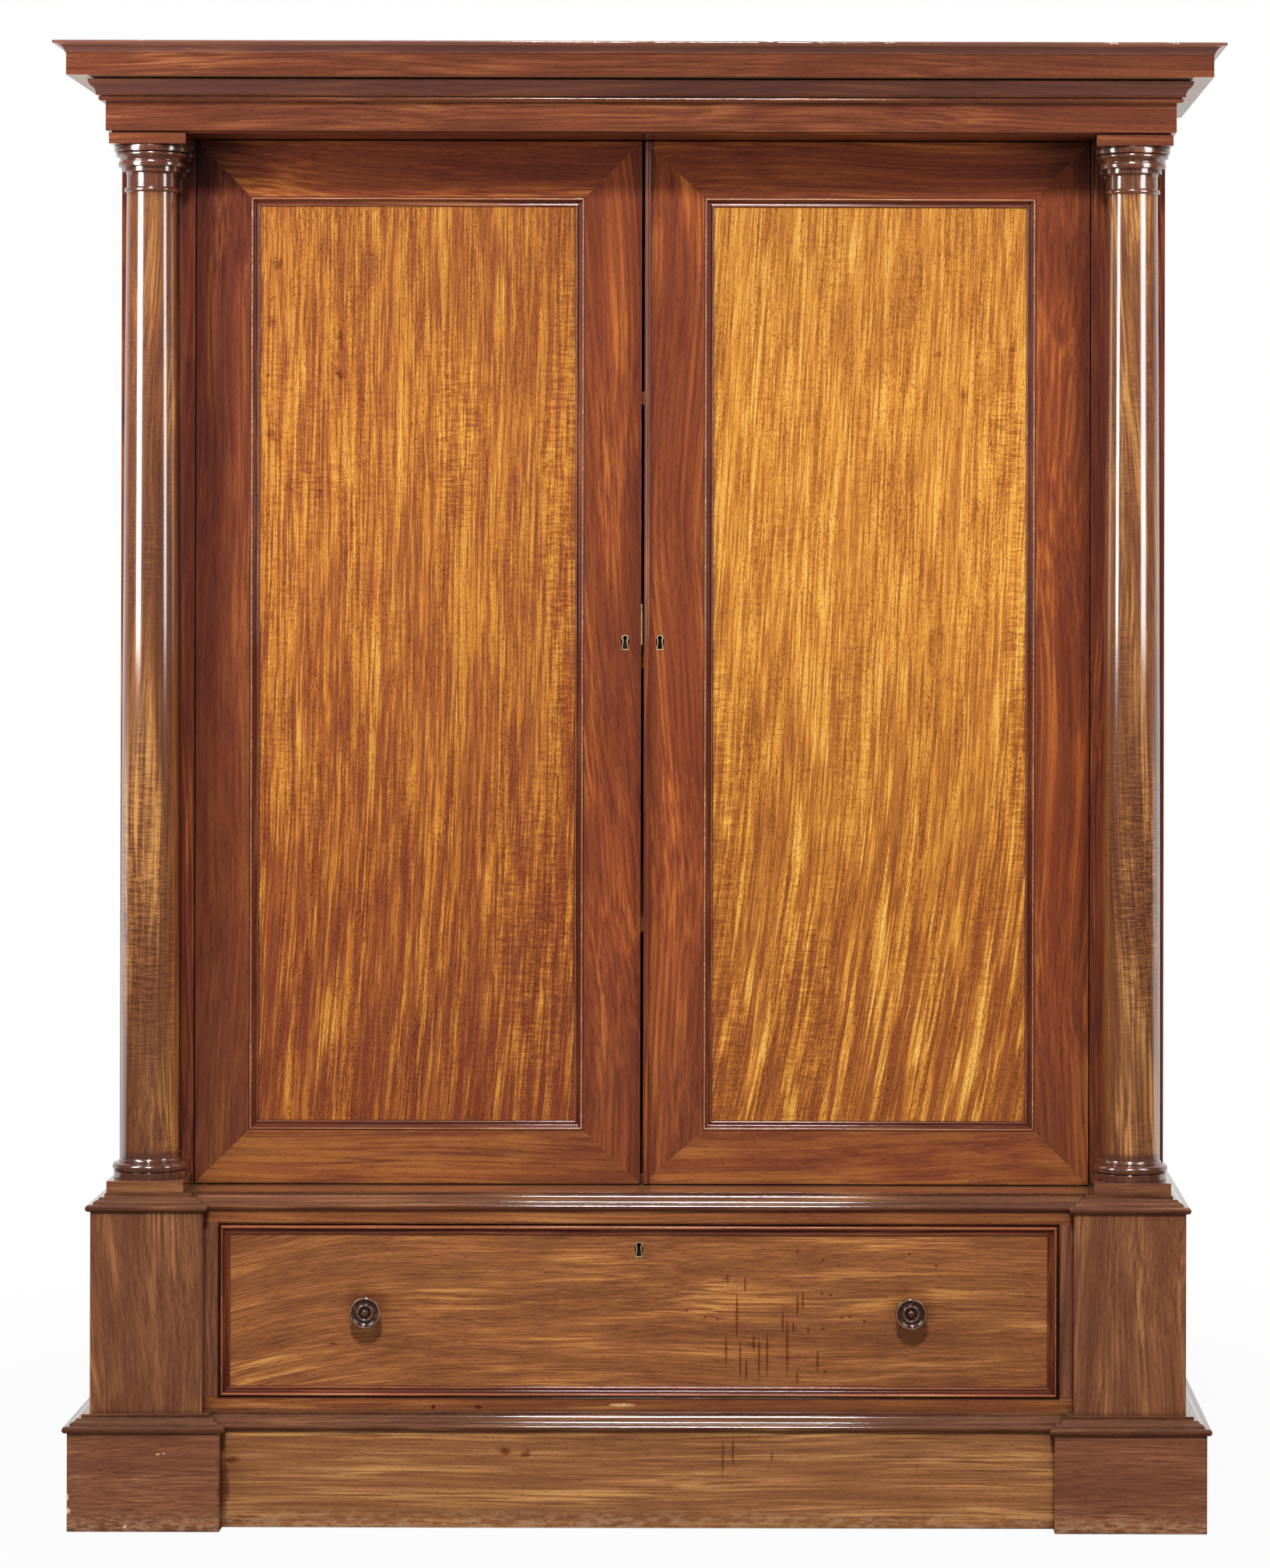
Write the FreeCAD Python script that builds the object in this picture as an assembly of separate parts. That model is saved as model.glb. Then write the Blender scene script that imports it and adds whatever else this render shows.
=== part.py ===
import FreeCAD, Part
import math
import os

# Mahogany linen press in three parts that lift apart: a base with one long drawer, a cupboard
# with two panelled doors between free-standing columns, and a cornice that lifts off.
# Millimetres. X runs to the right, Y to the back, Z up. The origin is on the floor, midway
# between the sides and between the cornice's front edge and the back.

# ---------------------------------------------------------------- driving dimensions

# Cupboard
carcass_width = 1572.0
carcass_depth = 502.0           # door face to back
cupboard_height = 1574.5        # base top to cornice underside
corner_stile_thickness = 34.0
side_thickness = 25.0
back_board_thickness = 12.0
back_board_count = 9
board_chamfer = 2.0
shelf_count = 3
shelf_thickness = 22.0
shelf_setback = 47.0            # shelf edge behind the door face
shelf_nosing = 4.0
housing_depth = 8.0

# Columns
column_square = 114.0           # side of the foot block and of the abacus
column_overhang = 4.5           # column beyond the carcass side
column_door_reveal = 1.5        # foot block to corner stile's inner edge
foot_block_height = 18.0
abacus_height = 16.0
column_tenon = 24.0             # side of the square tenons
tenon_clearance = 0.3
shaft_foot_radius = 43.5
shaft_neck_radius = 37.2
shaft_swell = 1.2               # entasis
ring_inset = 1.7                # widest ring inside the square
foot_band_height = 10.5
foot_band_inset = 2.0           # inside the widest ring, as all insets below
foot_torus_height = 13.0
foot_fillet_height = 3.0
foot_fillet_rise = 2.2          # beyond the shaft
apophyge_height = 7.0
astragal_height = 7.2
astragal_fillet = 1.6           # its root beyond the shaft's neck
astragal_rise = 2.0
necking_height = 23.0
necking_flare = 1.6
cap_fillet_height = 7.2
cap_fillet_inset = 12.2
cap_ring_height = 9.0
cap_ring_inset = 6.4
cavetto_height = 6.2
cavetto_foot_inset = 8.8
cavetto_hollow = 0.9
cap_torus_height = 7.2
cap_torus_inset = 1.8
top_ring_height = 9.6

# Base
base_projection = 21.0          # pedestal beyond the column square
break_depth = 29.5              # pedestals and plinth blocks stand this far forward
pedestal_width = 166.0
pedestal_height = 298.0         # between the two mouldings
pedestal_depth = 72.0
base_side_thickness = 34.0
base_back_thickness = 15.0
base_back_clearance = 30.0      # above the floor
rail_depth = 36.0
lower_rail_height = 20.0        # above the plinth moulding
upper_rail_height = 21.0
opening_stile_width = 22.0

# Plinth and the moulding that caps plinth and base
plinth_height = 145.5
plinth_projection = 29.5        # beyond the pedestals
plinth_board_clearance = 2.0    # centre board above the floor
moulding_height = 25.0
moulding_bead_reach = 7.0
moulding_bead_height = 10.0
moulding_quirk_setback = 3.2
moulding_cyma_setback = 12.0
moulding_cyma_rise = 0.8
moulding_fillet_setback = 18.5
moulding_fillet_height = 5.0
quirk_height = 1.2              # narrow step beside any bead
bead_fullness = 0.36            # rise of any bead's nose as a share of its width
cap_moulding_depth = 30.0       # behind the pedestal face

# Drawer
drawer_gap = 1.5
drawer_recess = 4.0             # field behind the rails
drawer_front_thickness = 26.0
drawer_side_thickness = 14.0
drawer_back_thickness = 12.0
drawer_bottom_thickness = 9.0
drawer_bottom_height = 14.0     # underside above the drawer sides' lower edge
drawer_side_relief = 4.0        # sides and back lower than the front
drawer_rear_gap = 28.5          # behind the drawer
drawer_groove = 6.0
dovetail_count = 5
dovetail_lap = 8.0              # wood in front of the tails
dovetail_flare = 3.0
guide_clearance = 1.0
runner_height = 20.0
runner_width = 46.0
guide_width = 18.0
guide_height = 40.0
kicker_width = 34.0

# Knobs
knob_spacing = 809.0
knob_radius = 23.0
knob_projection = 34.0
knob_collar_radius = 15.0
knob_neck_hollow = 6.0
knob_tenon_radius = 8.0
knob_rim_height = 4.0
knob_rim_bevel = 2.5
knob_dish_depth = 2.0
knob_ring_radius = 10.0
knob_ring_rise = 1.5
knob_button_radius = 6.0
knob_button_height = 3.0

# Doors
door_thickness = 28.0
door_side_gap = 2.0
door_end_gap = 2.0
meeting_gap = 4.5
hinge_stile_width = 81.0
meeting_stile_width = 85.5
beaded_stile_width = 89.5
top_rail_width = 84.0
bottom_rail_width = 80.0
panel_recess = 6.5
panel_thickness = 10.0
panel_tongue = 8.0
bead_frame_width = 14.6         # small moulding round the panels and the drawer
bead_frame_rise = 7.6
bead_frame_bead = 5.6           # width of its tall bead
bead_frame_hollow_head = 4.7    # height where its hollow begins
bead_frame_hollow_foot = 1.8    # height where its hollow ends
bead_frame_hollow_rise = 0.9
bead_frame_lip = 4.6            # width of its low bead
bead_frame_edge = 1.1           # thickness of its inner edge
meeting_bead_width = 10.0
meeting_bead_rise = 5.0
door_stop_height = 12.0
door_stop_depth = 15.0
stop_clearance = 0.3

# Pivot hinges
pivot_inset = 14.0              # pin from the door's outer edge
pivot_depth = 6.0               # pin behind the door's face
pivot_radius = 3.0
pivot_clearance = 0.1
pivot_bearing = 2.0             # pin inside the door's leaf
leaf_length = 60.0
leaf_width = 16.0
leaf_thickness = 3.0
leaf_setback = 1.0              # leaf behind the door's face

# Locks and keyhole threads
keyhole_height = 23.0
keyhole_head_radius = 4.9
keyhole_waist = 3.6             # half width
keyhole_foot = 5.4              # half width
thread_width = 1.4
thread_depth = 3.0
thread_rise = 0.4
door_keyhole_inset = 24.0       # from the meeting edge
door_keyhole_height = 818.0     # above the base top
door_lock_drop = 14.0           # keyhole above the lock's lower end
door_lock_height = 70.0
door_lock_depth = 46.0
drawer_keyhole_drop = 36.0      # below the drawer front's upper edge
drawer_lock_width = 62.0
drawer_lock_height = 54.0
lock_thickness = 14.0
door_lock_setback = 1.0         # behind the middle of the door's thickness
bolt_width = 18.0
bolt_thickness = 8.0
door_bolt_height = 40.6         # above the lock's lower end
bolt_length = 28.0
bolt_travel = 12.0
bolt_clearance = 0.2
socket_clearance = 1.6

# Cornice
frieze_reveal = 4.2             # frieze beyond the column square
cornice_lip = 3.0               # recessed board between abacus and frieze
cornice_lip_setback = 8.0
cornice_board_thickness = 20.0
frame_thickness = 25.0
frieze_height = 43.5
bed_height = 34.0
bed_bead_reach = 9.6
bed_bead_height = 6.8
bed_foot_reach = 13.0
bed_foot_fillet = 2.0
bed_head_reach = 24.0
bed_cyma_rise = 1.5
bed_shadow_height = 3.0         # groove under the corona
corona_height = 32.5
corona_reach = 51.4
cymatium_height = 17.0
cymatium_step = 1.3             # fillet between corona and hollow
cymatium_hollow = 3.6           # depth of the hollow
cornice_reach = 69.8
cornice_edge = 4.6              # thickness of the rounded top edge
frame_setdown = 8.0             # frame below the cornice's top

saw_margin = 1.0                # of the cutters that mitre the mouldings

# ---------------------------------------------------------------- places that follow from them

half_carcass = carcass_width / 2
column_outer_x = half_carcass + column_overhang
column_inner_x = column_outer_x - column_square
column_x = column_outer_x - column_square / 2
corner_stile_inner_x = column_inner_x - column_door_reveal
door_edge_x = corner_stile_inner_x - door_side_gap
meeting_x = meeting_gap / 2
pedestal_x = column_outer_x + base_projection
pedestal_inner_x = pedestal_x - pedestal_width
opening_x = pedestal_inner_x - opening_stile_width
plinth_x = pedestal_x + plinth_projection
plinth_inner_x = pedestal_inner_x - plinth_projection
frieze_x = column_outer_x + frieze_reveal

back_y = (carcass_depth + column_square + frieze_reveal + cornice_reach) / 2
door_y = back_y - carcass_depth
column_y = door_y - column_square / 2
column_front_y = door_y - column_square
pedestal_y = column_front_y - base_projection
rail_y = pedestal_y + break_depth
pedestal_back_y = pedestal_y + pedestal_depth
plinth_y = pedestal_y - plinth_projection
plinth_centre_y = plinth_y + break_depth
frieze_y = column_front_y - frieze_reveal
drawer_y = rail_y + drawer_recess
rail_back_y = rail_y + rail_depth
base_back_y = back_y - base_back_thickness
back_board_y = back_y - back_board_thickness

plinth_top_z = plinth_height + moulding_height
deck_under_z = plinth_top_z + pedestal_height
deck_z = deck_under_z + moulding_height
opening_low_z = plinth_top_z + lower_rail_height
opening_high_z = deck_under_z - upper_rail_height
cornice_z = deck_z + cupboard_height
abacus_z = cornice_z - abacus_height
foot_top_z = deck_z + foot_block_height
frieze_z = cornice_z + cornice_lip
bed_z = frieze_z + frieze_height
corona_z = bed_z + bed_height
crown_height = corona_height + cymatium_height
frame_height = frieze_height + bed_height + crown_height - frame_setdown

drawer_half_width = opening_x - drawer_gap
drawer_inner_x = drawer_half_width - drawer_side_thickness
knob_places = (-knob_spacing / 2, knob_spacing / 2)
drawer_low_z = opening_low_z + drawer_gap
drawer_high_z = opening_high_z - drawer_gap
drawer_mid_z = (drawer_low_z + drawer_high_z) / 2
drawer_side_high_z = drawer_high_z - drawer_side_relief
drawer_bottom_z = drawer_low_z + drawer_bottom_height
drawer_inner_z = drawer_bottom_z + drawer_bottom_thickness
drawer_front_back_y = drawer_y + drawer_front_thickness
drawer_end_y = base_back_y - drawer_rear_gap
drawer_rear_y = drawer_end_y - drawer_back_thickness

door_low_z = deck_z + door_end_gap
door_high_z = cornice_z - door_end_gap
door_back_y = door_y + door_thickness
panel_y = door_y + panel_recess
panel_back_y = panel_y + panel_thickness
pivot_x = door_edge_x - pivot_inset
pivot_y = door_y + pivot_depth
door_keyhole_x = meeting_x + door_keyhole_inset
door_keyhole_z = deck_z + door_keyhole_height
door_lock_z = door_keyhole_z - door_lock_drop
door_lock_y = door_y + (door_thickness - lock_thickness) / 2 + door_lock_setback
drawer_keyhole_z = drawer_high_z - drawer_keyhole_drop
drawer_lock_y = drawer_front_back_y - lock_thickness


# ---------------------------------------------------------------- making shapes

def vec(x, y, z):
    return FreeCAD.Vector(x, y, z)


def block(x0, x1, y0, y1, z0, z1):
    """Board between two corners."""
    low = vec(min(x0, x1), min(y0, y1), min(z0, z1))
    return Part.makeBox(abs(x1 - x0), abs(y1 - y0), abs(z1 - z0), low)


def upright_board(outline, z0, z1):
    """Board with the plan outline (x, y), from z0 up to z1."""
    ring = [vec(x, y, z0) for x, y in outline]
    return Part.Face(Part.makePolygon(ring + ring[:1])).extrude(vec(0, 0, z1 - z0))


def front_board(outline, y0, y1):
    """Board with the front outline (x, z), from y0 back to y1."""
    ring = [vec(x, y0, z) for x, z in outline]
    return Part.Face(Part.makePolygon(ring + ring[:1])).extrude(vec(0, y1 - y0, 0))


def grown(shape, x, y, z):
    """Block that clears the bounds of a shape by x, y and z."""
    bounds = shape.BoundBox
    wide = (bounds.XMin - x, bounds.XMax + x)
    deep = (bounds.YMin - y, bounds.YMax + y)
    return block(*wide, *deep, bounds.ZMin - z, bounds.ZMax + z)


def socket(bolt):
    """Mortise that a thrown bolt enters."""
    return grown(bolt, socket_clearance, socket_clearance, socket_clearance)


def arc(start, middle, rise, end):
    return Part.Arc(start, middle + rise, end).toShape()


def bow(start, middle, rise, end):
    curve = Part.BezierCurve()
    curve.setPoles([start, middle + rise * 2, end])
    return curve.toShape()


def outline_face(start, steps, bend):
    """Face in the XZ plane, drawn with its outside on the right-hand side.

    A step is an end point (x, z), or (x, z, rise) for a curve that stands out by rise.
    """
    edges = []
    here = vec(start[0], 0, start[1])
    for x, z, *rise in steps + (start,):
        end = vec(x, 0, z)
        if rise:
            way = (end - here).normalize()
            edges.append(bend(here, (here + end) * 0.5, vec(way.z, 0, -way.x) * rise[0], end))
        else:
            edges.append(Part.LineSegment(here, end).toShape())
        here = end
    return Part.Face(Part.Wire(edges))


def section(start, *steps):
    """Section of a moulding."""
    return outline_face(start, steps, arc)


def turned(start, *steps):
    """Turned work about Z from an outline of (radius, height)."""
    return outline_face(start, steps, bow).revolve(vec(0, 0, 0), vec(0, 0, 1), 360)


def cyma(start, end, rise):
    """Two steps that swell out and then hollow in, or the reverse for a negative rise."""
    middle = ((start[0] + end[0]) / 2, (start[1] + end[1]) / 2)
    return (*middle, rise), (*end, -rise)


def mitred_lengths(profile, path, closed=False):
    """One length of moulding for each side of a plan path, mitred where two sides meet.

    In the profile, x is the reach to the right of the walking direction and z is the height.
    """
    corners = [vec(x, y, 0) for x, y in path]
    if closed:
        corners.append(corners[0])
    walks = [(end - start).normalize() for start, end in zip(corners, corners[1:])]
    outward = [vec(walk.y, -walk.x, 0) for walk in walks]
    before = [outward[-1] if closed else outward[0]] + outward
    after = outward + [outward[0] if closed else outward[-1]]
    mitres = [(a + b) * (1 / (1 + a.dot(b))) for a, b in zip(before, after)]
    bounds = profile.BoundBox
    low, high = bounds.XMin - saw_margin, bounds.XMax + saw_margin
    lengths = []
    for i, reach in enumerate(outward):
        start, end = corners[i], corners[i + 1]
        spare = max(-low, high)
        stick = profile.extrude(vec(0, (end - start).Length + 2 * spare, 0))
        stick.translate(vec(0, -spare, 0))
        stick.rotate(vec(0, 0, 0), vec(0, 0, 1), math.degrees(math.atan2(reach.y, reach.x)))
        stick.translate(start)
        plan = [start + mitres[i] * low, start + mitres[i] * high]
        plan += [end + mitres[i + 1] * high, end + mitres[i + 1] * low]
        saw = upright_board([(p.x, p.y) for p in plan], bounds.ZMin - saw_margin, bounds.ZMax + saw_margin)
        lengths.append(stick.common(saw).Solids[0])
    return lengths


def stand_up(shape, y):
    """Turn plan work upright: its plan Y becomes Z, and its height points forward from y."""
    stood = shape.copy()
    stood.rotate(vec(0, 0, 0), vec(1, 0, 0), 90)
    stood.translate(vec(0, y, 0))
    return stood


def mirrored(shape):
    return shape.mirror(vec(0, 0, 0), vec(1, 0, 0))


def moved(shape, x, y, z):
    placed = shape.copy()
    placed.translate(vec(x, y, z))
    return placed


def handed(shape, side):
    """The right-hand shape for side 1, its mirror image for side -1."""
    return shape if side > 0 else mirrored(shape)


def save(name, *shapes):
    solids = [solid for shape in shapes for solid in shape.Solids]
    whole = solids[0] if len(solids) == 1 else Part.makeCompound(solids)
    whole.exportStep("parts/" + name + ".step")


# ---------------------------------------------------------------- mouldings

def cap_profile(depth):
    """Bead, cyma and set-back fillet, for the top of the plinth and of the base."""
    nose = moulding_bead_height * bead_fullness
    bead_x = moulding_bead_reach - nose
    cyma_foot = (-moulding_quirk_setback, moulding_bead_height + quirk_height)
    cyma_head = (-moulding_cyma_setback, moulding_height - moulding_fillet_height)
    return section(
        (-depth, 0),
        (bead_x, 0),
        (bead_x, moulding_bead_height, nose),
        (-moulding_quirk_setback, moulding_bead_height),
        cyma_foot,
        *cyma(cyma_foot, cyma_head, moulding_cyma_rise),
        (-moulding_fillet_setback, cyma_head[1]),
        (-moulding_fillet_setback, moulding_height),
        (-depth, moulding_height),
    )


def bead_frame_profile():
    """Small moulding round a panel or drawer: a tall bead, a hollow and a low bead."""
    nose = bead_frame_bead * bead_fullness
    shoulder = bead_frame_rise - nose
    lip_x = bead_frame_width - bead_frame_lip
    return section(
        (0, 0),
        (bead_frame_width, 0),
        (bead_frame_width, bead_frame_edge),
        (lip_x, bead_frame_hollow_foot, bead_frame_lip * bead_fullness / 2),
        (bead_frame_bead, bead_frame_hollow_head, -bead_frame_hollow_rise),
        (bead_frame_bead, shoulder),
        (0, shoulder, nose),
    )


def bed_profile():
    """Bead, fillet and cyma under the corona, with a shadow groove above."""
    nose = bed_bead_height * bead_fullness
    bead_x = bed_bead_reach - nose
    foot_z = bed_bead_height + quirk_height
    cyma_foot = (bed_foot_reach, foot_z + bed_foot_fillet)
    cyma_head = (bed_head_reach, bed_height - bed_shadow_height)
    return section(
        (0, 0),
        (bead_x, 0),
        (bead_x, bed_bead_height, nose),
        (bead_x, foot_z),
        (bed_foot_reach, foot_z),
        cyma_foot,
        *cyma(cyma_foot, cyma_head, -bed_cyma_rise),
        (bead_x, cyma_head[1]),
        (bead_x, bed_height),
        (0, bed_height),
    )


def crown_profile():
    """Flat corona under a hollow cymatium that ends in a thin rounded edge."""
    nose = cornice_edge * bead_fullness
    edge_x = cornice_reach - nose
    return section(
        (0, 0),
        (corona_reach, 0),
        (corona_reach, corona_height),
        (corona_reach + cymatium_step, corona_height),
        (corona_reach + cymatium_step, corona_height + cymatium_step),
        (edge_x, crown_height - cornice_edge, -cymatium_hollow),
        (edge_x, crown_height, nose),
        (0, crown_height),
    )


def breakfront(outer_x, front_y, inner_x, centre_y):
    """Plan of a front whose two ends stand forward, from the back left round to the back right."""
    right = [(inner_x, centre_y), (inner_x, front_y), (outer_x, front_y), (outer_x, back_y)]
    left = [(-x, y) for x, y in reversed(right)]
    return left + right


# ---------------------------------------------------------------- plinth

def make_plinth():
    corner = [
        (plinth_inner_x, plinth_y),
        (plinth_x, plinth_y),
        (plinth_x, pedestal_y),
        (pedestal_inner_x, pedestal_y),
        (pedestal_inner_x, rail_y),
        (plinth_inner_x, rail_y),
    ]
    end_block = upright_board(corner, 0, plinth_height)
    save("plinth_blocks", end_block, mirrored(end_block))
    across = (-plinth_inner_x, plinth_inner_x)
    board = block(*across, plinth_centre_y, rail_y, plinth_board_clearance, plinth_height)
    save("plinth_front_board", board)
    side = block(pedestal_x, plinth_x, pedestal_y, back_y, 0, plinth_height)
    save("plinth_sides", side, mirrored(side))
    path = breakfront(plinth_x, plinth_y, plinth_inner_x, plinth_centre_y)
    lengths = mitred_lengths(cap_profile(plinth_projection), path)
    save("plinth_moulding", *[moved(length, 0, 0, plinth_height) for length in lengths])


# ---------------------------------------------------------------- base

def hinge_leaf(z):
    """Brass leaf let into wood, with its lower face at z."""
    end_x = door_edge_x - door_side_gap
    front_y = door_y + leaf_setback
    return block(end_x - leaf_length, end_x, front_y, front_y + leaf_width, z, z + leaf_thickness)


def make_base():
    post = block(pedestal_inner_x, pedestal_x, pedestal_y, pedestal_back_y, 0, deck_under_z)
    save("pedestal_left", mirrored(post))
    save("pedestal_right", post)
    side_inner_x = pedestal_x - base_side_thickness
    side = block(side_inner_x, pedestal_x, pedestal_back_y, back_y, 0, deck_under_z)
    save("base_side_left", mirrored(side))
    save("base_side_right", side)
    back = block(-side_inner_x, side_inner_x, base_back_y, back_y, base_back_clearance, deck_under_z)
    save("base_back", back)

    lower = block(-pedestal_inner_x, pedestal_inner_x, rail_y, rail_back_y, plinth_height, opening_low_z)
    save("drawer_rail_lower", lower)
    upper = block(-pedestal_inner_x, pedestal_inner_x, rail_y, rail_back_y, opening_high_z, deck_under_z)
    save("drawer_rail_upper", upper.cut(socket(moved(drawer_bolt(), 0, 0, bolt_travel))))
    stile = block(opening_x, pedestal_inner_x, rail_y, rail_back_y, opening_low_z, opening_high_z)
    save("drawer_opening_stiles", stile, mirrored(stile))

    guide_x = drawer_half_width + guide_clearance
    runner_x = guide_x + guide_width
    run = (rail_back_y, base_back_y)
    runner = block(runner_x - runner_width, runner_x, *run, drawer_low_z - runner_height, drawer_low_z)
    guide = block(guide_x, runner_x, *run, drawer_low_z, drawer_low_z + guide_height)
    kicker = block(runner_x - kicker_width, runner_x, *run, opening_high_z, deck_under_z)
    pieces = [runner, guide, kicker]
    save("drawer_runners", *pieces, *[mirrored(piece) for piece in pieces])

    outline = breakfront(
        pedestal_x - cap_moulding_depth,
        pedestal_y + cap_moulding_depth,
        pedestal_inner_x + cap_moulding_depth,
        rail_y + cap_moulding_depth,
    )
    deck = upright_board(outline, deck_under_z, deck_z)
    leaf_seat = hinge_leaf(deck_z - leaf_thickness)
    save("base_top", deck.cut([leaf_seat, mirrored(leaf_seat)]))
    path = breakfront(pedestal_x, pedestal_y, pedestal_inner_x, rail_y)
    lengths = mitred_lengths(cap_profile(cap_moulding_depth), path)
    save("base_cap_moulding", *[moved(length, 0, 0, deck_under_z) for length in lengths])


# ---------------------------------------------------------------- drawer

def dovetails(y0, y1, z0, z1):
    """Tails of one drawer side between y0 and y1, wider at y1 where they lock, over z0 to z1."""
    pitch = (z1 - z0) / dovetail_count
    half_root = pitch / 4
    half_tip = half_root + dovetail_flare
    tails = []
    for i in range(dovetail_count):
        mid = z0 + pitch * (i + 0.5)
        outline = [
            (y0, mid - half_root),
            (y1, mid - half_tip),
            (y1, mid + half_tip),
            (y0, mid + half_root),
        ]
        ring = [vec(drawer_inner_x, y, z) for y, z in outline]
        face = Part.Face(Part.makePolygon(ring + ring[:1]))
        tails.append(face.extrude(vec(drawer_side_thickness, 0, 0)))
    return tails


def both_sides(shapes):
    return shapes + [mirrored(shape) for shape in shapes]


def drawer_bolt():
    """Bolt of the drawer's lock, drawn back."""
    mid_y = drawer_lock_y + lock_thickness / 2
    half = bolt_width / 2
    half_thick = bolt_thickness / 2
    low = drawer_high_z - bolt_length
    return block(-half, half, mid_y - half_thick, mid_y + half_thick, low, drawer_high_z)


def make_drawer():
    front_tails = dovetails(drawer_front_back_y, drawer_y + dovetail_lap, drawer_low_z, drawer_side_high_z)
    rear_tails = dovetails(drawer_rear_y, drawer_end_y, drawer_inner_z, drawer_side_high_z)
    across = (drawer_inner_x, drawer_half_width)
    side = block(*across, drawer_front_back_y, drawer_rear_y, drawer_low_z, drawer_side_high_z)
    foot = block(*across, drawer_rear_y, drawer_end_y, drawer_low_z, drawer_bottom_z)
    bottom_x = drawer_inner_x + drawer_groove
    groove_y = drawer_front_back_y - drawer_groove
    bottom = block(-bottom_x, bottom_x, groove_y, drawer_end_y, drawer_bottom_z, drawer_inner_z)
    groove = block(drawer_inner_x, bottom_x, drawer_y, drawer_end_y, drawer_bottom_z, drawer_inner_z)
    side = side.fuse(front_tails + rear_tails + [foot]).removeSplitter().cut(groove)
    save("drawer_side_left", mirrored(side))
    save("drawer_side_right", side)
    save("drawer_bottom", bottom)

    across = (-drawer_half_width, drawer_half_width)
    back = block(*across, drawer_rear_y, drawer_end_y, drawer_inner_z, drawer_side_high_z)
    save("drawer_back", back.cut(both_sides(rear_tails)))

    half_lock = drawer_lock_width / 2
    lock_low_z = drawer_high_z - drawer_lock_height
    case = block(-half_lock, half_lock, drawer_lock_y, drawer_front_back_y, lock_low_z, drawer_high_z)
    bolt = drawer_bolt()
    save("drawer_lock_case", case.cut(grown(bolt, bolt_clearance, bolt_clearance, 0)))
    save("drawer_lock_bolt", bolt)

    front = block(*across, drawer_y, drawer_front_back_y, drawer_low_z, drawer_high_z)
    cuts = both_sides(front_tails)
    cuts.append(bottom)
    cuts.append(case)
    cuts.append(keyhole(0, drawer_y, drawer_keyhole_z, drawer_lock_y - drawer_y))
    for x in knob_places:
        start = vec(x, drawer_y, drawer_mid_z)
        hole_radius = knob_tenon_radius + tenon_clearance
        cuts.append(Part.makeCylinder(hole_radius, drawer_front_thickness, start, vec(0, 1, 0)))
    save("drawer_front", front.cut(cuts))

    rectangle = [
        (-drawer_half_width, drawer_low_z),
        (-drawer_half_width, drawer_high_z),
        (drawer_half_width, drawer_high_z),
        (drawer_half_width, drawer_low_z),
    ]
    lengths = mitred_lengths(bead_frame_profile(), rectangle, closed=True)
    save("drawer_bead", *[stand_up(length, drawer_y) for length in lengths])
    save("drawer_escutcheon", keyhole_thread(0, drawer_y, drawer_keyhole_z))
    knob = make_knob()
    save("drawer_knobs", *[moved(knob, x, drawer_y, drawer_mid_z) for x in knob_places])


def make_knob():
    """Turned knob standing out of the XZ plane: a tenon, a waisted neck and a dished face."""
    bevel_z = knob_projection - knob_button_height / 2
    rim_z = bevel_z - knob_rim_bevel
    dish_radius = knob_radius - knob_rim_bevel
    dish_z = bevel_z - knob_dish_depth
    knob = turned(
        (0, -drawer_front_thickness),
        (knob_tenon_radius, -drawer_front_thickness),
        (knob_tenon_radius, 0),
        (knob_collar_radius, 0),
        (knob_radius, rim_z - knob_rim_height, -knob_neck_hollow),
        (knob_radius, rim_z),
        (dish_radius, bevel_z),
        (knob_ring_radius + knob_ring_rise, dish_z),
        (knob_ring_radius, dish_z + knob_ring_rise),
        (knob_button_radius, knob_projection - knob_button_height),
        (0, knob_projection, knob_button_height / 4),
    )
    knob.rotate(vec(0, 0, 0), vec(1, 0, 0), 90)
    return knob


# ---------------------------------------------------------------- keyholes

def keyhole(x, y, z, depth, inset=0):
    """Keyhole about (x, z), cut back from y: a round head and a flared foot."""
    half = keyhole_height / 2
    head_z = half - keyhole_head_radius
    radius = keyhole_head_radius - inset
    waist = keyhole_waist - inset
    foot = keyhole_foot - inset
    waist_z = head_z - math.sqrt(radius ** 2 - waist ** 2)
    head_rise = head_z + radius - waist_z
    foot_z = inset - half
    hole = section((-foot, foot_z), (foot, foot_z), (waist, waist_z), (-waist, waist_z, head_rise))
    return moved(hole.extrude(vec(0, depth, 0)), x, y, z)


def keyhole_thread(x, y, z):
    """Brass thread that lines a keyhole, nearly flush with the face at y."""
    front_y = y - thread_rise
    length = thread_depth + thread_rise
    return keyhole(x, front_y, z, length).cut(keyhole(x, front_y, z, length, thread_width))


# ---------------------------------------------------------------- cupboard

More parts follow.
